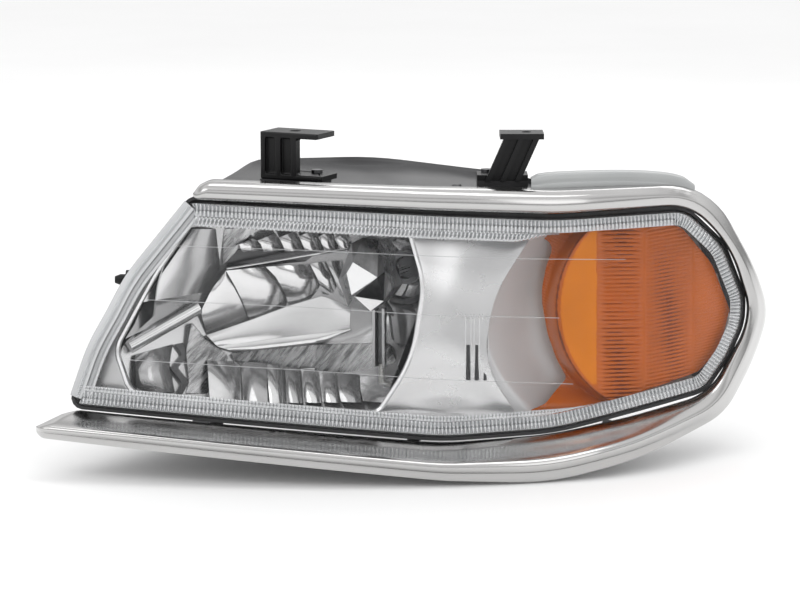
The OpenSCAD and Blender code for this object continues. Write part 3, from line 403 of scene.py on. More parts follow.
# ---- CAD nodes that keep their shape ---------------------------------------------------------
KEPT = {
    "housing": "housing", "lens_seal": "seal", "trim_clips": "dark_steel",
    "bezel_screws": "dark_steel", "inner_bracket": "bracket", "outer_bracket": "bracket",
    "bracket_screws": "dark_steel", "mounting_studs": "zinc", "side_peg": "bracket", "pivot_stud": "zinc",
    "aim_bushings": "nylon", "vent_elbows": "seal", "wiring_header": "cap", "header_pins": "brass",
    "pivot_socket": "nylon", "shield_rivet": "zinc", "bulb_glass": "bulb", "bulb_base": "dark_steel",
    "bulb_filaments": "tungsten", "bulb_terminals": "brass", "bulb_clip": "zinc",
    "vertical_aim_screw": "zinc", "vertical_aim_nut": "nylon", "side_aim_screw": "zinc",
    "side_aim_nut": "nylon", "rear_cap": "cap", "rear_cap_seal": "seal", "turn_socket": "socket",
    "turn_socket_seal": "seal", "turn_bulb": "bulb_amber", "marker_socket": "socket",
    "marker_socket_seal": "seal", "marker_bulb": "bulb_amber",
}
BEVELLED = {"inner_bracket": 1.7, "outer_bracket": 1.7, "rear_cap": 0.8, "turn_socket": 0.5,
            "marker_socket": 0.4, "wiring_header": 0.5, "bracket_screws": 0.3}
for name, key in KEPT.items():
    o = frame["nodes"][name]
    o.data.materials.clear()
    o.data.materials.append(M[key])
    smooth_by_angle(o, 35)
    if name in BEVELLED:
        b = o.modifiers.new("bevel", "BEVEL")
        b.width = BEVELLED[name] * 0.001
        b.segments = 3
        b.limit_method = "ANGLE"
        b.angle_limit = math.radians(38)
        b.use_clamp_overlap = True

# ---- shared outlines, in millimetres of the lens frame ---------------------------------------
LENS_LEFT, LENS_NOSE = (-203, -8.5), (249.8, -14)
LENS_UPPER = [LENS_LEFT, (-190, 16, 140), (-146, 70, 5), (20, 61, 500), (110, 57.5, 300),
              (205, 63.5, 25), (234, 38, 40), (250.5, 0, 30), LENS_NOSE]
LENS_LOWER = [LENS_LEFT, (-217, -33, 140), (-231, -73, 5), (30, -95, 200), (110, -90, 200),
              (220, -65, 22), (238, -42, 60), (248, -22, 25), LENS_NOSE]
TRIM_NEAR = [(-148, 70.9), (20, 63.2, 500), (110, 60.4, 300), (208, 67.3, 42), (240, 38, 120),
             (255.5, -6, 40), (252, -25, 60), (224, -69, 45), (165, -83, 300), (108, -94, 300),
             (30, -99.5, 200), (-232, -77)]
TRIM_FAR = [(-137, 86), (20, 81, 500), (110, 79.5, 300), (223, 84, 60), (263, 20, 200),
            (274.5, -12, 40), (262, -46, 160), (237, -84, 50), (170, -111.5, 300), (104, -126.5, 200),
            (30, -124, 300), (-256, -95.5)]
OPENING = [(-172, 19, 90), (-146, 56, 6), (4, 56, 16), (16.5, 12, 60), (8, -42, 90), (-16, -78.5, 10),
           (-190, -66, 14), (-201, -34, 20)]
BEZEL_EDGE = [(-182, 17, 90), (-143, 64, 5), (96, 52, 5), (66, 6, 90), (57, -44, 60), (84, -84, 5),
              (-224, -69, 5), (-209, -33, 120)]


def ring_of(upper, lower, count):
    """Closed ring, clockwise from its left end, with count points above and count below."""
    a, b = even(rounded(upper, False), count), even(rounded(lower, False), count)
    return np.vstack([a, b[-2:0:-1]])


def filled(ring, rows, depth):
    """Rows of points between the lower and upper half of a ring."""
    h = len(ring) // 2
    upper, lower = ring[: h + 1], np.vstack([ring[:1], ring[:h - 1:-1]])
    t = np.linspace(0, 1, rows)[:, None, None]
    flat = lower[None] * (1 - t) + upper[None] * t
    return np.stack([flat[..., 0], depth(flat[..., 0], flat[..., 1]), flat[..., 1]], -1)


# ---- lens ------------------------------------------------------------------------------------
LENS_SKIRT, LENS_WALL = 14, 2.6
ring = ring_of(LENS_UPPER, LENS_LOWER, 140)
b = Build()
front = filled(ring, 40, lambda u, z: bow(u))
b.grid(row(front))
edge = [on_face(ring, 0), on_face(ring, LENS_SKIRT), on_face(grow(ring, -LENS_WALL), LENS_SKIRT)]
b.grid(row(np.array(edge)), close_cols=True)
b.object("lens_shell", "housing", [M["clear"]], 30, "clear_plastic", ["lens"])

# ---- flutes round the lens, on its inner side ------------------------------------------------
flutes = Build()
FLUTE_POINTS = 6        # points along each flute
RING_PITCH = 2.75       # the main ring's flutes


def flute_band(path, near, far, pitch, height, slant=0.0, back=1.6, rows=4, taper=None):
    """A band of half-round flutes that follows path, between two distances inside it."""
    count = int(length(path) / pitch) * FLUTE_POINTS
    p = even(path, count)
    t = np.roll(p, -1, 0) - np.roll(p, 1, 0)
    t[0], t[-1] = p[1] - p[0], p[-1] - p[-2]
    t /= np.linalg.norm(t, axis=1)[:, None]
    normal = np.stack([t[:, 1], -t[:, 0]], 1)
    phase = np.arange(count) / FLUTE_POINTS
    grid = []
    for k in range(rows):
        share = k / (rows - 1)
        away = near + (far - near) * share
        if taper is not None:
            away = near + (far - near) * share * taper(p[:, 0])
        q = p + normal * np.reshape(away, (-1, 1))
        swell = height * np.abs(np.sin(math.pi * (phase + slant * share)))
        end = math.sin(math.pi * share) ** 0.5 if 0 < share < 1 else 0.25
        grid.append(np.stack([q[:, 0], bow(q[:, 0]) + back - swell * end, q[:, 1]], 1))
    g = np.array(grid)
    flutes.slab(row(g), row(g + np.array([0, 0.9, 0])))


upper = even(rounded(LENS_UPPER, False), 1500)
lower = even(rounded(LENS_LOWER, False), 1500)
corner_low = int(np.argmin(lower[:, 0] + 0.4 * lower[:, 1]))
corner_up = int(np.argmax(upper[:, 1] - 0.9 * upper[:, 0]))
top_run = upper[corner_up + 4:]
low_run = lower[corner_low + 8:][::-1]
whole = np.vstack([top_run, low_run])
flute_band(whole, 1.1, 10.0, RING_PITCH, 1.9)
flute_band(top_run[top_run[:, 0] < 112], 10.2, 17.0, RING_PITCH, 1.9, slant=0.8, rows=10,
           taper=lambda u: 1 - 0.85 * ease((u - 78) / 32))
flute_band(low_run[low_run[:, 0] < 150], 10.3, 14.2, 2.5, 0.9,
           taper=lambda u: 1 - 0.9 * ease((u - 95) / 50))
left_edge = np.vstack([lower[:corner_low - 6][::-1], upper[:corner_up - 2]])
flute_band(left_edge, 0.2, 2.4, 1.3, 0.7, back=1.2)
# smooth bands inside the left edge, and a stepped one outside it; the middle band takes a darker copy as
# painted shade, the others a lighter copy as painted light
strip = even(left_edge, 160)
along = np.gradient(strip, axis=0)
along /= np.linalg.norm(along, axis=1)[:, None]
inward = np.stack([along[:, 1], -along[:, 0]], 1)
border = Build()
for inner, outer, deep, mat in ((2.4, 5.2, 1.4, 0), (5.4, 8.6, 2.2, 1), (8.8, 11.2, 1.6, 0)):
    g = []
    for t in np.linspace(0, 1, 5):
        q = strip + inward * (inner + (outer - inner) * t)
        g.append(np.stack([q[:, 0], bow(q[:, 0]) + deep - 0.7 * math.sin(math.pi * t), q[:, 1]], 1))
    g = np.array(g)
    border.slab(row(g), row(g + np.array([0, 1.2, 0])), mat)
g = []
for off, deep in ((-4.3, 17), (-4.4, 9), (-3.6, 7.6), (-1.8, 7.0), (-1.4, 5.6), (0.4, 5.2), (1.2, 4.0),
                  (2.3, 3.6)):
    q = strip + inward * off
    g.append(np.stack([q[:, 0], bow(q[:, 0]) + deep, q[:, 1]], 1))
g = np.array(g)
border.slab(row(g), row(g + np.array([0, 0.9, 0])), 0)
# lighter and darker copies of one clear plastic: painted light and painted shade
lit_border = material("border_painted_light", (0.74, 0.75, 0.76), 0.25, metal=0.5, grain=30, speckle=0.04,
                       clear=0.12)
shaded_border = material("border_painted_shade", (0.50, 0.51, 0.52), 0.25, metal=0.5, grain=30, speckle=0.05, clear=0.12)
border.object("lens_border", "housing", [lit_border, shaded_border], 60, "clear_plastic")
flutes.object("lens_flutes", "housing", [M["flute"]], 60, "clear_plastic")

# Thin level lines moulded across the lens
lines = Build()
for path in ([(-158, 39), (-70, 36.2), (21, 32), (91, 29.7), (160, 28.8)],
             [(-178, 1.2), (-70, -3.5), (21, -9.2), (112, -11.9)],
             [(-192, -41), (-70, -47.5), (21, -53.9), (122, -58.6)]):
    p = even(np.array(path, float), 60)
    q = [np.stack([p[:, 0], bow(p[:, 0]) + 0.25 + off, p[:, 1] + up], 1)
         for off, up in ((0, 0.22), (-0.3, 0.0), (0, -0.22))]
    lines.slab(row(np.array(q)), row(np.array(q) + np.array([0, 0.5, 0])))
lines.object("lens_aim_lines", "housing", [M["aim_line"]], 60, "clear_plastic")

# ---- chrome surround -------------------------------------------------------------------------
# Its cross sections: the share of the way from the near to the far outline, and millimetres back
RAIL = [(0, 9), (0.02, 0), (0.07, -5), (0.17, -7.4), (0.34, -8.4), (0.55, -8), (0.74, -5.8), (0.9, -0.5),
        (1, 11)]
BAND = [(0, 9), (0.04, 4), (0.12, 1), (0.35, 0), (0.5, 0), (0.58, 1.5), (0.75, 6), (0.9, 10), (1, 15)]
LEDGE = [(0, 9), (0.04, 4), (0.3, -8), (0.46, -17), (0.56, -20), (0.68, -20), (0.76, -18), (0.8, -16),
         (1, -14)]
rail, band, ledge = (spline(s, 44) for s in (RAIL, BAND, LEDGE))


def matched(points, per):
    """The outline cut into its own corners' stretches, so two outlines with matching corners pair up."""
    out = []
    path = [np.array(p[:2], float) for p in points]
    full = rounded(points, False, 8)
    marks = [0]
    for i in range(1, len(path) - 1):
        marks.append(int(np.argmin(np.linalg.norm(full - path[i], axis=1))))
    marks.append(len(full) - 1)
    for k in range(len(marks) - 1):
        piece = even(full[marks[k]: marks[k + 1] + 1], per[k] + 1)
        out.append(piece[:-1])
    out.append(full[-1:])
    return np.vstack(out)


per = [90, 50, 60, 26, 34, 18, 30, 40, 40, 44, 130]
near, far = matched(TRIM_NEAR, per), matched(TRIM_FAR, per)
run = np.concatenate([[0], np.cumsum(np.linalg.norm(np.diff((near + far) / 2, axis=0), axis=1))])
run /= run[-1]
sections = []
for i in range(len(near)):
    s = run[i]
    to_band, to_ledge = ease((s - 0.27) / 0.1), ease((s - 0.46) / 0.16)
    face = (rail * (1 - to_band) + band * to_band) * (1 - to_ledge) + ledge * to_ledge
    back = face[::-1] * [0.86, 1] + [0.07, 2.6]
    prof = np.vstack([face, back])
    # the section shrinks over the last few steps at each end, so both ends are rounded off
    full = 1 - 0.5 * (1 - min(1, i / 4)) ** 2 - 0.35 * (1 - min(1, (len(near) - 1 - i) / 3)) ** 2
    prof = (prof - [0.5, 4]) * full + [0.5, 4]
    # near the ledge's tip the section reaches the far outline early, which makes the tip blunt
    blunt = ease((s - 0.93) / 0.07)
    across = prof[:, 0] + (np.minimum(1, prof[:, 0] / 0.6) - prof[:, 0]) * blunt
    q = near[i] + (far[i] - near[i]) * np.stack([across, prof[:, 0]], 1)
    sections.append(np.stack([q[:, 0], bow(q[:, 0]) + prof[:, 1], q[:, 1]], 1))
sections = np.array(sections)
b = Build()
b.grid(row(sections), close_cols=True)
for k, flip in ((0, False), (-1, True)):
    s = row(sections[k])
    half = len(s) // 2
    quads = [[i, i + 1, len(s) - 2 - i, len(s) - 1 - i] for i in range(half - 1)]
    b.add(s, [q[::-1] if flip else q for q in quads])
b.object("chrome_surround", "housing", [M["trim"]], 50, "bright_trim", ["chrome_trim"])

# Light grey stepped strip behind the rail at the top right
spine = spline([(92.5, 89), (110, 91.2), (150, 92.6), (180, 92), (200, 89.5), (213, 84.5)], 90)
profile = spline([(0, 24), (-0.5, 18), (-2, 13.5), (-5, 12.4), (-8, 12.6), (-8.6, 11.4), (-12, 11.4),
                  (-15, 13)], 30)
g = []
for k, (u, z) in enumerate(spine):
    end = min(1, 0.35 + k / 8) * min(1, (len(spine) - 1 - k) / 16 + 0.3)
    g.append([(u, float(bow(u)) + w, z + dz * (0.6 + 0.4 * end) - 2.5 * (1 - end)) for dz, w in profile])
g = np.array(g)
b = Build()
b.slab(row(g), row(g + np.array([0, 2.4, -0.8])), 0)
b.object("fender_strip", "housing", [M["flange"]], 50, "flange_grey", ["fender_flange"])

# ---- bezel -----------------------------------------------------------------------------------
def matched_ring(points, per):
    """A closed outline cut at its own corners, like matched."""
    full = rounded(points, True, 12)
    marks = [int(np.argmin(np.linalg.norm(full - np.array(p[:2], float), axis=1))) for p in points]
    out = []
    for k in range(len(marks)):
        a, c = marks[k], marks[(k + 1) % len(marks)]
        piece = full[a: c + 1] if c > a else np.vstack([full[a:], full[: c + 1]])
        out.append(even(piece, per[k] + 1)[:-1])
    return np.vstack(out)


RIM_HIGHLIGHT_STRIPS = range(25, 29)      # the strips of each section that make the opening's rim, in a brightened copy of the bezel silver as painted highlight
per = [30, 90, 40, 36, 34, 120, 24, 40]
outer_edge, hole_edge = matched_ring(BEZEL_EDGE, per), matched_ring(OPENING, per)
sections = []
for a, c in zip(outer_edge, hole_edge):
    gap = max(1.0, float(np.linalg.norm(c - a)))
    dish = 10 * float(ease((gap - 25) / 60))
    t = np.linspace(0, 1 - min(0.4, 1.3 / gap), 24)
    skin = np.stack([t, 13.5 + dish * np.sin(math.pi * t)], 1)
    bead = np.array([[1 - 1.0 / gap, 12.6], [1 - 0.6 / gap, 12.1], [1 - 0.2 / gap, 12.3], [1, 13.2],
                     [1, 22]])
    keep = np.vstack([[[0, 19], [0, 16]], skin, bead])
    q = a + (c - a) * keep[:, :1]
    sections.append(np.stack([q[:, 0], bow(q[:, 0]) + keep[:, 1], q[:, 1]], 1))
sections = np.array(sections)
b = Build()
b.grid(row(sections), close_rows=True)
for i in range(len(b.f)):
    if i % (sections.shape[1] - 1) in RIM_HIGHLIGHT_STRIPS:
        b.m[i] = 1
bezel = b.object("bezel_shell", "housing", [M["bezel"], M["rim"]], 40, "bezel_silver", ["bezel"])
m = bezel.modifiers.new("sheet", "SOLIDIFY")
m.thickness = 0.0012
m.offset = 1
# louvres beside the turn pocket: (across, back) sections of a slot in black painted shadow and of the lips
# beside it, brightened as painted highlight
SLOT = ((-1.3, 0), (-1.0, -1.6), (1.0, -1.6), (1.3, 0))
LIP = ((-0.35, 0), (-0.2, -2), (0.2, -2), (0.35, 0))
b = Build()
for u, top in ((48, -31), (54, -31), (60, -44)):
    g = np.array([[(u + du, bow(u) + 15.2 + dw, z) for du, dw in SLOT]
                  for z in np.linspace(-56, top, 12)])
    b.slab(row(g), row(g + np.array([0, 4, 0])), 0)
    for side in (-1, 1):
        g = np.array([[(u + side * 1.9 + du, bow(u) + 15.0 + dw, z) for du, dw in LIP]
                      for z in np.linspace(-57, -9, 12)])
        b.slab(row(g), row(g + np.array([0, 4, 0])), 1)
b.object("bezel_louvres", "housing", [M["louvre"], M["rim"]], 40, "bezel_silver")

# ---- turn pocket -----------------------------------------------------------------------------
POCKET_UPPER = [(60, -17), (62.5, 2, 60), (72, 30, 50), (99, 52, 5), (204, 54, 18), (229, 30, 40),
                (242, -14)]
POCKET_LOWER = [(60, -17), (61, -44, 60), (70, -70, 40), (88, -85, 5), (214, -60, 20), (237, -36, 30),
                (242, -14)]
POCKET_FRONT, POCKET_BOWL = 19.5, 21        # its rim behind the outer lens, and the bowl's depth
pocket = ring_of(POCKET_UPPER, POCKET_LOWER, 120)


def pocket_depth(u, z):
    """Depth of the turn pocket: a bowl with a curved left side."""
    left = 60 + 0.0085 * (z + 17) ** 2
    across = np.clip(np.minimum((u - left) / 36, (241 - u) / 20), 0, 1)
    over = np.clip(np.minimum(54 - z, z + 84 - 0.18 * np.maximum(0, u - 90)) / 7, 0, 1)
    bowl = np.minimum(np.sin(across * math.pi / 2) ** 1.1, np.sin(over * math.pi / 2))
    return bow(u) + POCKET_FRONT + POCKET_BOWL * bowl


b = Build()
g = filled(pocket, 60, pocket_depth)
b.grid(row(g))
b.object("turn_pocket", "housing", [M["pocket"]], 40, "pocket_silver", ["turn_reflector"])

# ---- amber lens ------------------------------------------------------------------------------
AMBER_UPPER = [(101, -2), (101, 9, 30), (104, 24, 30), (109.5, 39, 8), (99, 46, 2), (113, 51, 6),
               (142, 54, 200), (201, 53, 16), (226, 25, 40), (240.5, -9)]
AMBER_LOWER = [(101, -2), (105, -24, 30), (111, -41, 20), (119, -56, 4), (103, -73, 10),
               (85, -80, 2), (113, -80.5, 8), (172, -66, 90), (216, -53, 18), (233, -36, 25),
               (240.5, -9)]
DOME_U, DOME_Z, DOME_RADIUS = 188, -5, 77.0
RIBS = 2.9                          # pitch of the level ribs
SLANT_FROM, SLANT, SLANT_RIBS = 175, 0.16, 2.7   # the slanted ribs: start, slope, pitch


def dome_edge(z):
    """Left edge of the amber lens's round front."""
    return DOME_U - np.sqrt(np.maximum(1, DOME_RADIUS ** 2 - (z - DOME_Z) ** 2))


def amber_depth(u, z):
    """Depth of the amber lens: a ribbed front, then a wall that goes back to the pocket."""
    inside = u - dome_edge(z)
    wall = 20 * ease(-inside / 9) * (1 - 0.75 * ease((-62 - z) / 14))
    crease = -0.8 * np.exp(-(inside / 1.3) ** 2)
    columns = ease((u - 139) / 8) * (1 - ease((u - 170) / 4))
    columns2 = ease((u - 175) / 3) * (1 - ease((u - 207) / 4))
    columns3 = ease((u - 212) / 2)
    f = columns * 1.3 * np.abs(np.sin(math.pi * z / RIBS))
    f = f + columns2 * 1.1 * np.abs(np.sin(math.pi * (z - SLANT * (u - SLANT_FROM)) / SLANT_RIBS))
    f = f + columns3 * 0.6 * np.abs(np.sin(math.pi * (z - 0.2 * (u - SLANT_FROM)) / 2.0))
    side = ease(-inside / 2) * 0.45 * np.abs(np.sin(math.pi * (z + 0.5 * (u - 105)) / 2.2))
    return bow(u) + 9 + wall + crease - f - side


amber = material("amber_plastic", (0.46, 0.098, 0.004), 0.14, grain=16, speckle=0.18, clear=0.10,
                 clear_colour=(1, 0.3, 0.03), spec=0.35)
# brighter copy of the amber: painted light on the plain band beside the round front
amber_painted_light = material("amber_painted_light", (0.66, 0.19, 0.006), 0.12, grain=16, speckle=0.12, clear=0.10,
                        clear_colour=(1, 0.4, 0.05), spec=0.35)
# dark copy of the amber: painted shade in the grooves and the crease
amber_painted_shade = material("amber_painted_shade", (0.17, 0.032, 0.004), 0.2, grain=30, speckle=0.3, clear=0.10,
                      clear_colour=(1, 0.3, 0.03), spec=0.3)
BODY, LIT, GROOVE_SHADE = range(3)      # the amber lens's materials: its own amber, a brighter copy as painted light, and a dark copy as painted shade
b = Build()
levels = np.linspace(-80.3, 53.6, 300)
left_side = np.vstack([rounded(AMBER_LOWER[:7], False)[::-1], rounded(AMBER_UPPER[:7], False)[1:]])
right_side = np.vstack([rounded(AMBER_LOWER[6:], False), rounded(AMBER_UPPER[6:], False)[::-1][1:]])
start, stop = (np.interp(levels, side[:, 1], side[:, 0])[:, None] for side in (left_side, right_side))
u = start + (stop - start) * np.linspace(0, 1, 151)
z = levels[:, None] + 0 * u
g = np.stack([u, amber_depth(u, z), z], -1)
b.grid(row(g))
cols = g.shape[1] - 1
for i in range(len(b.f)):
    line, column = divmod(i, cols)
    u, z = g[line, column, 0], g[line, column, 2]
    deep = 0.34 * math.sin(0.11 * u + 0.05 * z) + 0.42      # how much of each groove takes painted shade
    level, slanted = z / RIBS, (z - SLANT * (u - SLANT_FROM)) / SLANT_RIBS
    groove = abs(math.sin(math.pi * (level if u < 172 else slanted)))
    # painted light: the plain band between the round front's edge and the ribs
    b.m[i] = LIT if dome_edge(z) + 2 < u < 139 and -60 < z < 52 else BODY
    shade = 0
    if 143 < u < 168:
        shade = deep * (1 - abs(u - 156) / 15)
    elif 180 < u < 206:
        shade = deep * (1 - abs(u - 193) / 16)
    # painted shade: the dark share of each groove, and the crease along the round front's edge
    if groove < shade or abs(u - dome_edge(z) + 1.0) < 0.7:
        b.m[i] = GROOVE_SHADE
b.object("amber_lens_shell", "housing", [amber, amber_painted_light, amber_painted_shade], 60, "amber_plastic",
         ["amber_lens"])

# ---- main reflector --------------------------------------------------------------------------
def dish_y(x, z):
    """The reflecting surface, a paraboloid about the bulb that opens towards its edge."""
    r = np.hypot(x - BULB[0], z - BULB[2])
    f = 26 + 0.17 * np.maximum(0, r - 30)
    return BULB[1] + f - r * r / (4 * f)


def dish_w(u, z):
    """Depth of the reflecting surface behind a point of the lens plane."""
    u, z = np.asarray(u, float), np.asarray(z, float)
    w = np.full(np.broadcast(u, z).shape, 60.0)
    for _ in range(40):
        c = turn(np.stack([u + 0 * w, w, z + 0 * w], -1))
        w = w - 0.6 * (c[..., 1] - dish_y(c[..., 0], c[..., 2]))
    return np.maximum(w, bow(u) + 24)


REFLECTOR_EDGE_U = [(-176, -12), (-172, 19, 60), (-147, 57, 6), (6, 57, 16), (19, 8)]
REFLECTOR_EDGE_L = [(-176, -12), (-204, -38, 20), (-192, -69, 14), (-14, -81, 12), (19, 8)]
DISH_BACK = 96                                  # the dish goes no deeper than this
MIRROR, MID_SHADE, DARK_SHADE, BRUSHED, HOLE = range(5)     # the reflector's materials: the bright aluminising, a grey copy as painted shade, a near-black copy as painted shade, brushed, and black painted shadow in the bulb hole
rb = Build()


def ruled(left, right, across, along):
    """(across, up) points between two curves that run the same way."""
    a, c = even(np.array(left, float), along), even(np.array(right, float), along)
    t = np.linspace(0, 1, across)[None, :, None]
    return a[:, None] * (1 - t) + c[:, None] * t


def facet(left, right, mat, bulge=0.0, lift=1.0, tilt=(0.0, 0.0), across=10, along=14,
          bulge_along=0.0):
    """One facet: a curved panel that stands lift in front of the base surface, with its own edge walls."""
    p = ruled(left, right, across, along)
    u, z = p[..., 0], p[..., 1]
    mid = p.reshape(-1, 2).mean(0)
    base = dish_w(u, z)
    s = np.linspace(0, 1, across)[None, :]
    t = np.linspace(0, 1, along)[:, None]
    swell = bulge * 4 * s * (1 - s) + bulge_along * 4 * t * (1 - t)
    w = base - lift - swell + tilt[0] * (u - mid[0]) + tilt[1] * (z - mid[1])
    g = np.stack([u, w, z], -1)
    back = np.stack([u, np.maximum(w + 2, base + 1.5), z], -1)
    # the facet's back and edge walls take the near-black painted shade
    rb.slab(row(g), row(back), mat, DARK_SHADE)


bg = ring_of(REFLECTOR_EDGE_U, REFLECTOR_EDGE_L, 120)
g = filled(bg, 60, lambda u, z: np.minimum(dish_w(u, z) + 2, DISH_BACK))
# the base dish and its side walls are greyed as painted shade
rb.grid(row(g), mat=MID_SHADE)
# side walls, from the dish's edge to just behind the bezel, with room for the aiming travel
deep = np.minimum(dish_w(bg[:, 0], bg[:, 1]) + 2, DISH_BACK)
shallow = np.minimum(bow(bg[:, 0]) + 35, deep - 0.5)
walls = [np.stack([bg[:, 0], deep + (shallow - deep) * t, bg[:, 1]], 1) for t in np.linspace(0, 1, 5)]
rb.grid(row(np.array(walls)), mat=MID_SHADE, close_cols=True)

# long facets: their upper edge, then the steps between them from left to right
S0 = [(-125.4, 20.4), (-136, 6), (-143.7, -9.5), (-139.8, -26.7)]
S1 = [(-125.4, 20), (-118.7, 8), (-113.2, -4), (-109.3, -16.2)]
S2 = [(-97, 22.6), (-89.8, 15), (-83.7, 3.8), (-81, -5.6)]
S3 = [(-65.4, 24.6), (-59.9, 13.8), (-57.5, 6), (-56.5, 1.6)]
S4 = [(-53.8, 26.5), (-47.7, 13.8), (-44.5, 4), (-43, -1)]
S5 = [(-42, 27), (-40, 15), (-38, 3), (-36, -6)]
# the last long facet is greyed as painted shade
for left, right, mat, bulge, tilt in (
        (S0, S1, MIRROR, 1.5, (0.10, -0.25)), (S1, S2, MIRROR, 2.5, (0.16, -0.20)),
        (S2, S3, MIRROR, 2.5, (0.16, -0.2)), (S3, S4, MIRROR, 1.5, (0.2, -0.15)),
        (S4, S5, MID_SHADE, 1.0, (0.2, -0.1))):
    facet(left, right, mat, bulge, 4.5, tilt, bulge_along=3.0)
D1 = [(-139.8, -26.7), (-109.3, -16.6), (-81, -6.2), (-56.5, 1), (-36, -7)]
D2 = [(-132, -35), (-108, -32), (-85.4, -29), (-60, -26), (-36.6, -22.3)]
D3 = [(-119.8, -39), (-102, -39.5), (-83, -37.3), (-57.7, -32.8), (-35.4, -24)]
facet(D1, D2, MIRROR, 0.8, 4.0, (0.0, -0.12), across=10, along=30)
facet(D2, D3, MIRROR, 0.5, 3.0, (0.0, -0.3), across=6, along=30)

# scallops above them, over a step in near-black painted shade, and the thin bar
for u0, u1, top in ((-117.5, -102.5, 42), (-102, -87, 45.5), (-86.5, -72.5, 47.5),
                    (-72, -58.5, 48.5), (-58, -47, 48), (-46.5, -36, 46.5)):
    left = [(u0 - 1, top - 4), (u0 + 1.5, 39), (u0 + 3.5, 33.5)]
    right = [(u1 - 4, top + 1), (u1 + 0.5, 41), (u1 + 2.5, 34.5)]
    facet(left, right, MIRROR, 2.6, 5.0, (0.25, 0.3), across=12, along=12, bulge_along=1.5)
facet([(-128, 34), (-125, 21)], [(-38, 39), (-38, 29)], DARK_SHADE, 0.0, 1.0, across=24, along=6)


def rod(a, c, r, w_off, mat, count=12):
    """A round bar between two (across, up) points in front of the base surface."""
    p = even(np.array([a, c], float), 24)
    w = np.linspace(float(dish_w(*a)) - w_off, float(dish_w(*c)) - w_off, 24)
    rings = []
    d = np.array([c[0] - a[0], w[-1] - w[0], c[1] - a[1]])
    d /= np.linalg.norm(d)
    side = np.cross(d, [0, 1, 0])
    side /= np.linalg.norm(side)
    lift = np.cross(d, side)
    for q, depth in zip(p, w):
        centre = np.array([q[0], depth, q[1]])
        rings.append([centre + r * (math.cos(k) * side + math.sin(k) * lift) for k in circle(count)])
    rings = np.array(rings)
    rb.grid(row(rings), mat=mat, close_cols=True)
    for end, flip in ((rings[0], True), (rings[-1], False)):
        rb.add(row(end), [list(range(count))[::-1] if flip else list(range(count))], mat)


rod((-125, 21.3), (-38, 35.5), 0.9, 9, MIRROR)
# pocket on the left: flat mirrored panels greyed as painted shade, a wavy strip in near-black painted
# shade, and the bright round bar
facet([(-149, 50), (-172, 16), (-184, -2)], [(-127, 50), (-128, 24), (-143, 4)], MID_SHADE, 3.0, 3.0,
      (0.3, 0.1), across=14, along=16)
facet([(-184, -2), (-190, -18), (-196, -28)], [(-143, 2), (-146, -2), (-149, -6)], MID_SHADE, 1.5, 2.0,
      (0.2, 0.3), across=14, along=10)
facet([(-127, 50), (-128, 24)], [(-104, 51), (-118, 34)], BRUSHED, 1.0, 2.0, (-0.2, 0.2),
      across=10, along=10)
rod((-194, -33.5), (-145.5, -6), 5.6, 7, MIRROR, 28)
facet([(-190, -40), (-188, -66)], [(-164, -33), (-166, -48), (-162, -67)], MID_SHADE, 5.0, 3.0, (0.2, 0.1),
      across=14, along=12, bulge_along=4)
facet([(-162, -33), (-157, -40), (-165, -50), (-157, -60), (-161, -67)],
      [(-157, -32), (-152, -40), (-160, -50), (-152, -60), (-156, -68)], DARK_SHADE, 0.0, 4.0,
      across=6, along=24)
facet([(-150, -18), (-154, -38), (-152, -60), (-154, -68)],
      [(-142, -28), (-124, -42), (-128, -55), (-122, -70)], BRUSHED, 1.0, 2.0,
      (0.2, -0.2), across=12, along=14)
# brushed floor between the long facets and the bottom row
facet([(-122, -40), (-120, -45)], [(-60, -34), (-62, -53)], BRUSHED, 0.5, 2.0, (0.0, -0.5),
      across=20, along=8)
facet([(-60, -34), (-62, -53)], [(-8, -33), (2, -58)], BRUSHED, 1.0, 2.0, (0.1, -0.6),
      across=20, along=10)
# bottom row of scallops, some greyed as painted shade
for u0, u1, top, mat, tilt in (
        (-139, -116, -45, MIRROR, 0.3), (-115.5, -97, -46, MID_SHADE, -0.3), (-96.5, -84, -48, MIRROR, 0.4),
        (-83.5, -72, -50, MID_SHADE, 0.2), (-71.5, -59, -51.5, MIRROR, 0.1), (-58.5, -46, -53, MIRROR, 0.0),
        (-45.5, -30, -54, MID_SHADE, 0.3), (-29.5, -4, -56, MIRROR, -0.2)):
    facet([(u0, top), (u0 + 1, top - 10), (u0 + 3, -73 + 0.02 * u0)],
          [(u1, top - 1), (u1 + 1, top - 11), (u1 + 2, -74 + 0.02 * u1)],
          mat, 2.5, 5.0, (tilt, 0.25), across=12, along=10, bulge_along=2)
# below the bulb hole: reflections painted as a greyed mirror panel, and a recess in near-black painted
# shade
facet([(-8, -1), (-4, -32)], [(16, -1), (12, -34)], MID_SHADE, 2.0, 2.0, (0.4, 0.3), across=10, along=12)
facet([(-13, -4), (-9, -9), (-6, -30)], [(-9, -3), (-5, -9), (-2, -30)], DARK_SHADE, 0.0, 5.0,
      across=6, along=12)

# bulb hole, all painted shade: a cup behind the reflector with a toothed rim above and a lip, the rim
# near-black and the inside black painted shadow
steps = 96
hole_c = np.array([BULB[0], 0.0, BULB[2]])


def hole_ring(r, y, teeth=0.0):
    """A circle round the bulb hole, with teeth along its upper part."""
    out = []
    for k in range(steps):
        a = 2 * math.pi * k / steps
        rr = r - (teeth if (k % 4 < 2 and math.sin(a) > 0.1) else 0)
        out.append([hole_c[0] + rr * math.cos(a), y, hole_c[2] + rr * math.sin(a)])
    return np.array(out)


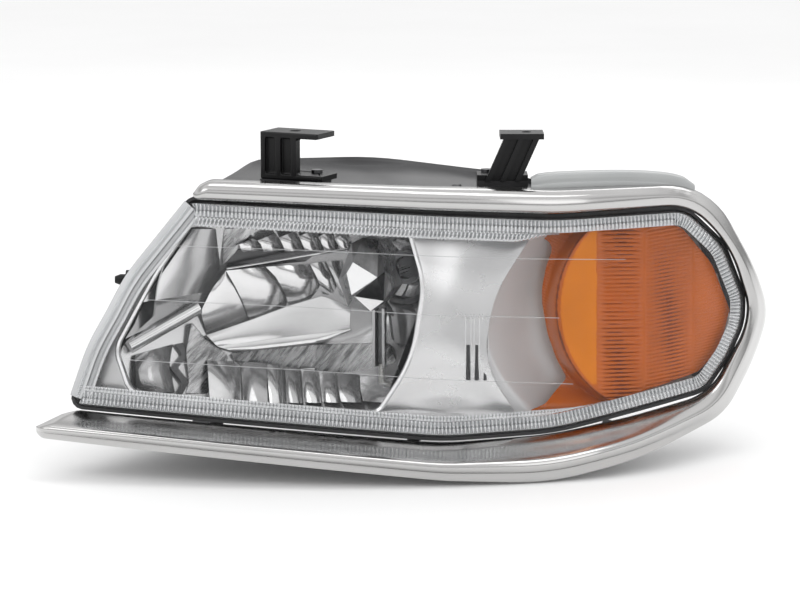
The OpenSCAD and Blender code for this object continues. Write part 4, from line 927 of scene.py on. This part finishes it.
cup = np.array([hole_ring(26, 78), hole_ring(25.2, 76.5), hole_ring(22.5, 77, 1.2), hole_ring(22, 80, 1.2)])
rb.grid(car_row(cup), mat=DARK_SHADE, close_cols=True)
cup = np.array([hole_ring(22, 80), hole_ring(21.5, 92), hole_ring(19, 95), hole_ring(6, 96),
                hole_ring(0.5, 96)])
rb.grid(car_row(cup), mat=HOLE, close_cols=True)
looks = [M["mirror"], M["mirror_shaded"], M["mirror_dark_shade"], M["brushed"], M["louvre"]]
rb.object("reflector_face", "reflector", looks, 25, "metallised", ["main_reflector"])

# ---- bulb shield: folded hood on a two-rail foot ---------------------------------------------
HOOD = {                # its corners: across, back, up
    "a": (-34.3, 36, 40.4), "b": (-26.6, 38, 44.3), "c": (-15.5, 40, 42.6), "d": (-11, 42, 36),
    "e": (-10.6, 38, 20.4), "f": (-16, 26, 16.5), "g": (-33.2, 27, 27), "h": (-37.7, 30, 19.3),
    "i": (-34.3, 31, 3.8), "j": (-5.5, 44, 8.2), "k": (-11.6, 40, -0.7), "l": (-21, 40, -7.9),
    "m": (-32.1, 33, 2.7), "n": (-43.8, 42, 13.8), "o": (-36.6, 42, -5),
}
LIT_FACES, SATIN, SHADE = range(3)     # the hood's materials: faces lit up as painted light in the bright aluminising, satin faces, and faces in near-black painted shade
b = Build()
names = list(HOOD)
pts = row(np.array([HOOD[k] for k in names]))
at = {k: i for i, k in enumerate(names)}


def hood_face(keys, mat):
    """One flat face of the hood through named corners."""
    b.add(pts[[at[k] for k in keys]], [list(range(len(keys)))[::-1]], mat)


# each face takes satin, painted light, or painted shade by which way it faces
for mat, corners in ((SATIN, "agb bgf bfc cfd dfe"), (LIT_FACES, "ghf hif fim"), (SHADE, "fmk efk"),
                     (LIT_FACES, "ekj mlk mol"), (SATIN, "ahg anh nih nmi nom")):
    for keys in corners.split():
        hood_face(keys, mat)
rim_keys = "abcdejklon"
rim = np.array([HOOD[k] for k in rim_keys])
inv = np.linalg.inv(turn(np.eye(3)).T)
depth_dir = inv @ np.array([0, 1, 0])
side = np.array([rim, rim + depth_dir * 8, rim + depth_dir * 18])
centre = rim.mean(0)
side[2] = (side[2] - (centre + depth_dir * 18)) * 0.96 + centre + depth_dir * 18
b.grid(row(side), mat=SATIN, close_cols=True)
for x0 in (-4.8, 2.8):
    g = np.array([[(BULB[0] + x0 + dx, 42 + dy, z) for dx, dy in ((0, 0), (0, -1.5), (2, -1.5), (2, 0))]
                  for z in np.linspace(-57, -14, 8)])
    b.slab(car_row(g), car_row(g + np.array([0, 2, 0])), SATIN)
# a plate behind the foot in near-black painted shade
g = np.array([[(BULB[0] - 4 + dx, 44, z) for dx in (0, 4, 8)] for z in (-57, -30, -14)])
b.slab(car_row(g), car_row(g + np.array([0, 1, 0])), SHADE)
looks = [M["mirror"], M["shield_brushed"], M["mirror_dark_shade"]]
b.object("bulb_hood", "reflector", looks, 12, "nickel", ["bulb_shield"])

# Black coated tip of the bulb: a real coating, drawn 24 mm long, longer than a real coated tip, as painted
# shade in the bulb hole
tip_lo, tip_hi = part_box("bulb_glass")
tip_x, tip_z = (tip_lo.x + tip_hi.x) / 2, (tip_lo.z + tip_hi.z) / 2
tip_r = (tip_hi.x - tip_lo.x) / 2 + 0.0003
rings = []
for y, share in ((-0.0004, 0.02), (-0.0004, 0.55), (0.0004, 0.82), (0.0022, 1.0), (0.024, 1.0),
                 (0.0244, 0.97), (0.0244, 0.9)):
    rings.append([(tip_x + tip_r * share * math.cos(k), tip_lo.y + y, tip_z + tip_r * share * math.sin(k))
                  for k in circle(64)])
b = Build()
b.grid(np.array(rings), close_cols=True)
tip_grey = material("bulb_tip_grey", (0.035, 0.035, 0.037), 0.4, grain=90, speckle=0.3)
b.object("bulb_tip", "reflector", [tip_grey], 40, "cap_black")

# ---- floor, lights, camera -------------------------------------------------------------------
mesh = bpy.data.meshes.new("floor")
size = 9.0
z = cad_lo.z - 0.0005
mesh.from_pydata([(-size, -size, z), (size, -size, z), (size, size, z), (-size, size, z)], [],
                 [(0, 1, 2, 3)])
floor = bpy.data.objects.new("floor", mesh)
bpy.context.scene.collection.objects.link(floor)
mesh.materials.append(material("floor_paper", (0.93, 0.93, 0.93), 0.9, grain=3, speckle=0.01, spec=0.1))


def area(name, place, aim, size, energy):
    """A soft rectangular light that points at aim."""
    light = bpy.data.lights.new(name, "AREA")
    light.shape = "RECTANGLE"
    light.size, light.size_y = size
    light.energy = energy
    o = bpy.data.objects.new(name, light)
    o.location = place
    o.rotation_euler = (Vector(aim) - Vector(place)).to_track_quat("-Z", "Y").to_euler()
    bpy.context.scene.collection.objects.link(o)


aim = Vector((-0.07, -0.06, -0.11))
area("key", (-0.9, -1.7, 1.5), aim, (1.6, 0.9), 7)
area("fill", (1.9, -1.1, 0.9), aim, (0.8, 1.4), 3)
area("top", (0.0, 0.2, 2.1), aim, (2.2, 0.7), 9)
area("back", (-0.3, 2.0, 1.2), aim, (1.8, 0.6), 6)

world = bpy.data.worlds.new("studio")
bpy.context.scene.world = world
world.use_nodes = True
nt = world.node_tree
nt.nodes.clear()
link = nt.links.new
out = nt.nodes.new("ShaderNodeOutputWorld")
coords = nt.nodes.new("ShaderNodeTexCoord")
split = nt.nodes.new("ShaderNodeSeparateXYZ")
link(coords.outputs["Generated"], split.inputs[0])
height = nt.nodes.new("ShaderNodeMapRange")
height.inputs["From Min"].default_value, height.inputs["From Max"].default_value = -1, 1
link(split.outputs["Z"], height.inputs["Value"])
ramp = nt.nodes.new("ShaderNodeValToRGB")
# brightness that shiny surfaces mirror, by the height of the direction they look in
stops = [(0.0, 0.62), (0.40, 0.58), (0.475, 0.24), (0.51, 0.28), (0.56, 0.66), (0.68, 1.0), (0.77, 0.56),
         (0.88, 1.0), (1.0, 0.85)]
els = ramp.color_ramp.elements
els[0].position, els[0].color = stops[0][0], (stops[0][1],) * 3 + (1,)
els[1].position, els[1].color = stops[-1][0], (stops[-1][1],) * 3 + (1,)
for share, v in stops[1:-1]:
    e = els.new(share)
    e.color = (v, v, v, 1)
link(height.outputs[0], ramp.inputs["Fac"])
studio = nt.nodes.new("ShaderNodeBackground")
studio.inputs["Strength"].default_value = 1.0
link(ramp.outputs["Color"], studio.inputs["Color"])
white = nt.nodes.new("ShaderNodeBackground")
white.inputs["Color"].default_value = (1, 1, 1, 1)
white.inputs["Strength"].default_value = 1.0
path = nt.nodes.new("ShaderNodeLightPath")
mix = nt.nodes.new("ShaderNodeMixShader")
link(path.outputs["Is Glossy Ray"], mix.inputs["Fac"])
link(white.outputs[0], mix.inputs[1])
link(studio.outputs[0], mix.inputs[2])
link(mix.outputs[0], out.inputs["Surface"])
bpy.context.scene.view_settings.view_transform = "Standard"

cam_data = bpy.data.cameras.new("camera")
cam = bpy.data.objects.new("camera", cam_data)
bpy.context.scene.collection.objects.link(cam)
cam_data.sensor_width, cam_data.lens = 36, 139.4
cam_data.clip_start, cam_data.clip_end = 0.05, 50
target = Vector(row(np.array([0.0, 40.0, 0.0])))
azimuth, elevation, away = math.radians(26), math.radians(10), 2.2
level = math.cos(elevation)
back = Vector((math.sin(azimuth) * level, -math.cos(azimuth) * level, math.sin(elevation)))
cam.location = target + back * away
cam.rotation_euler = (-back).to_track_quat("-Z", "Y").to_euler()
bpy.context.scene.camera = cam
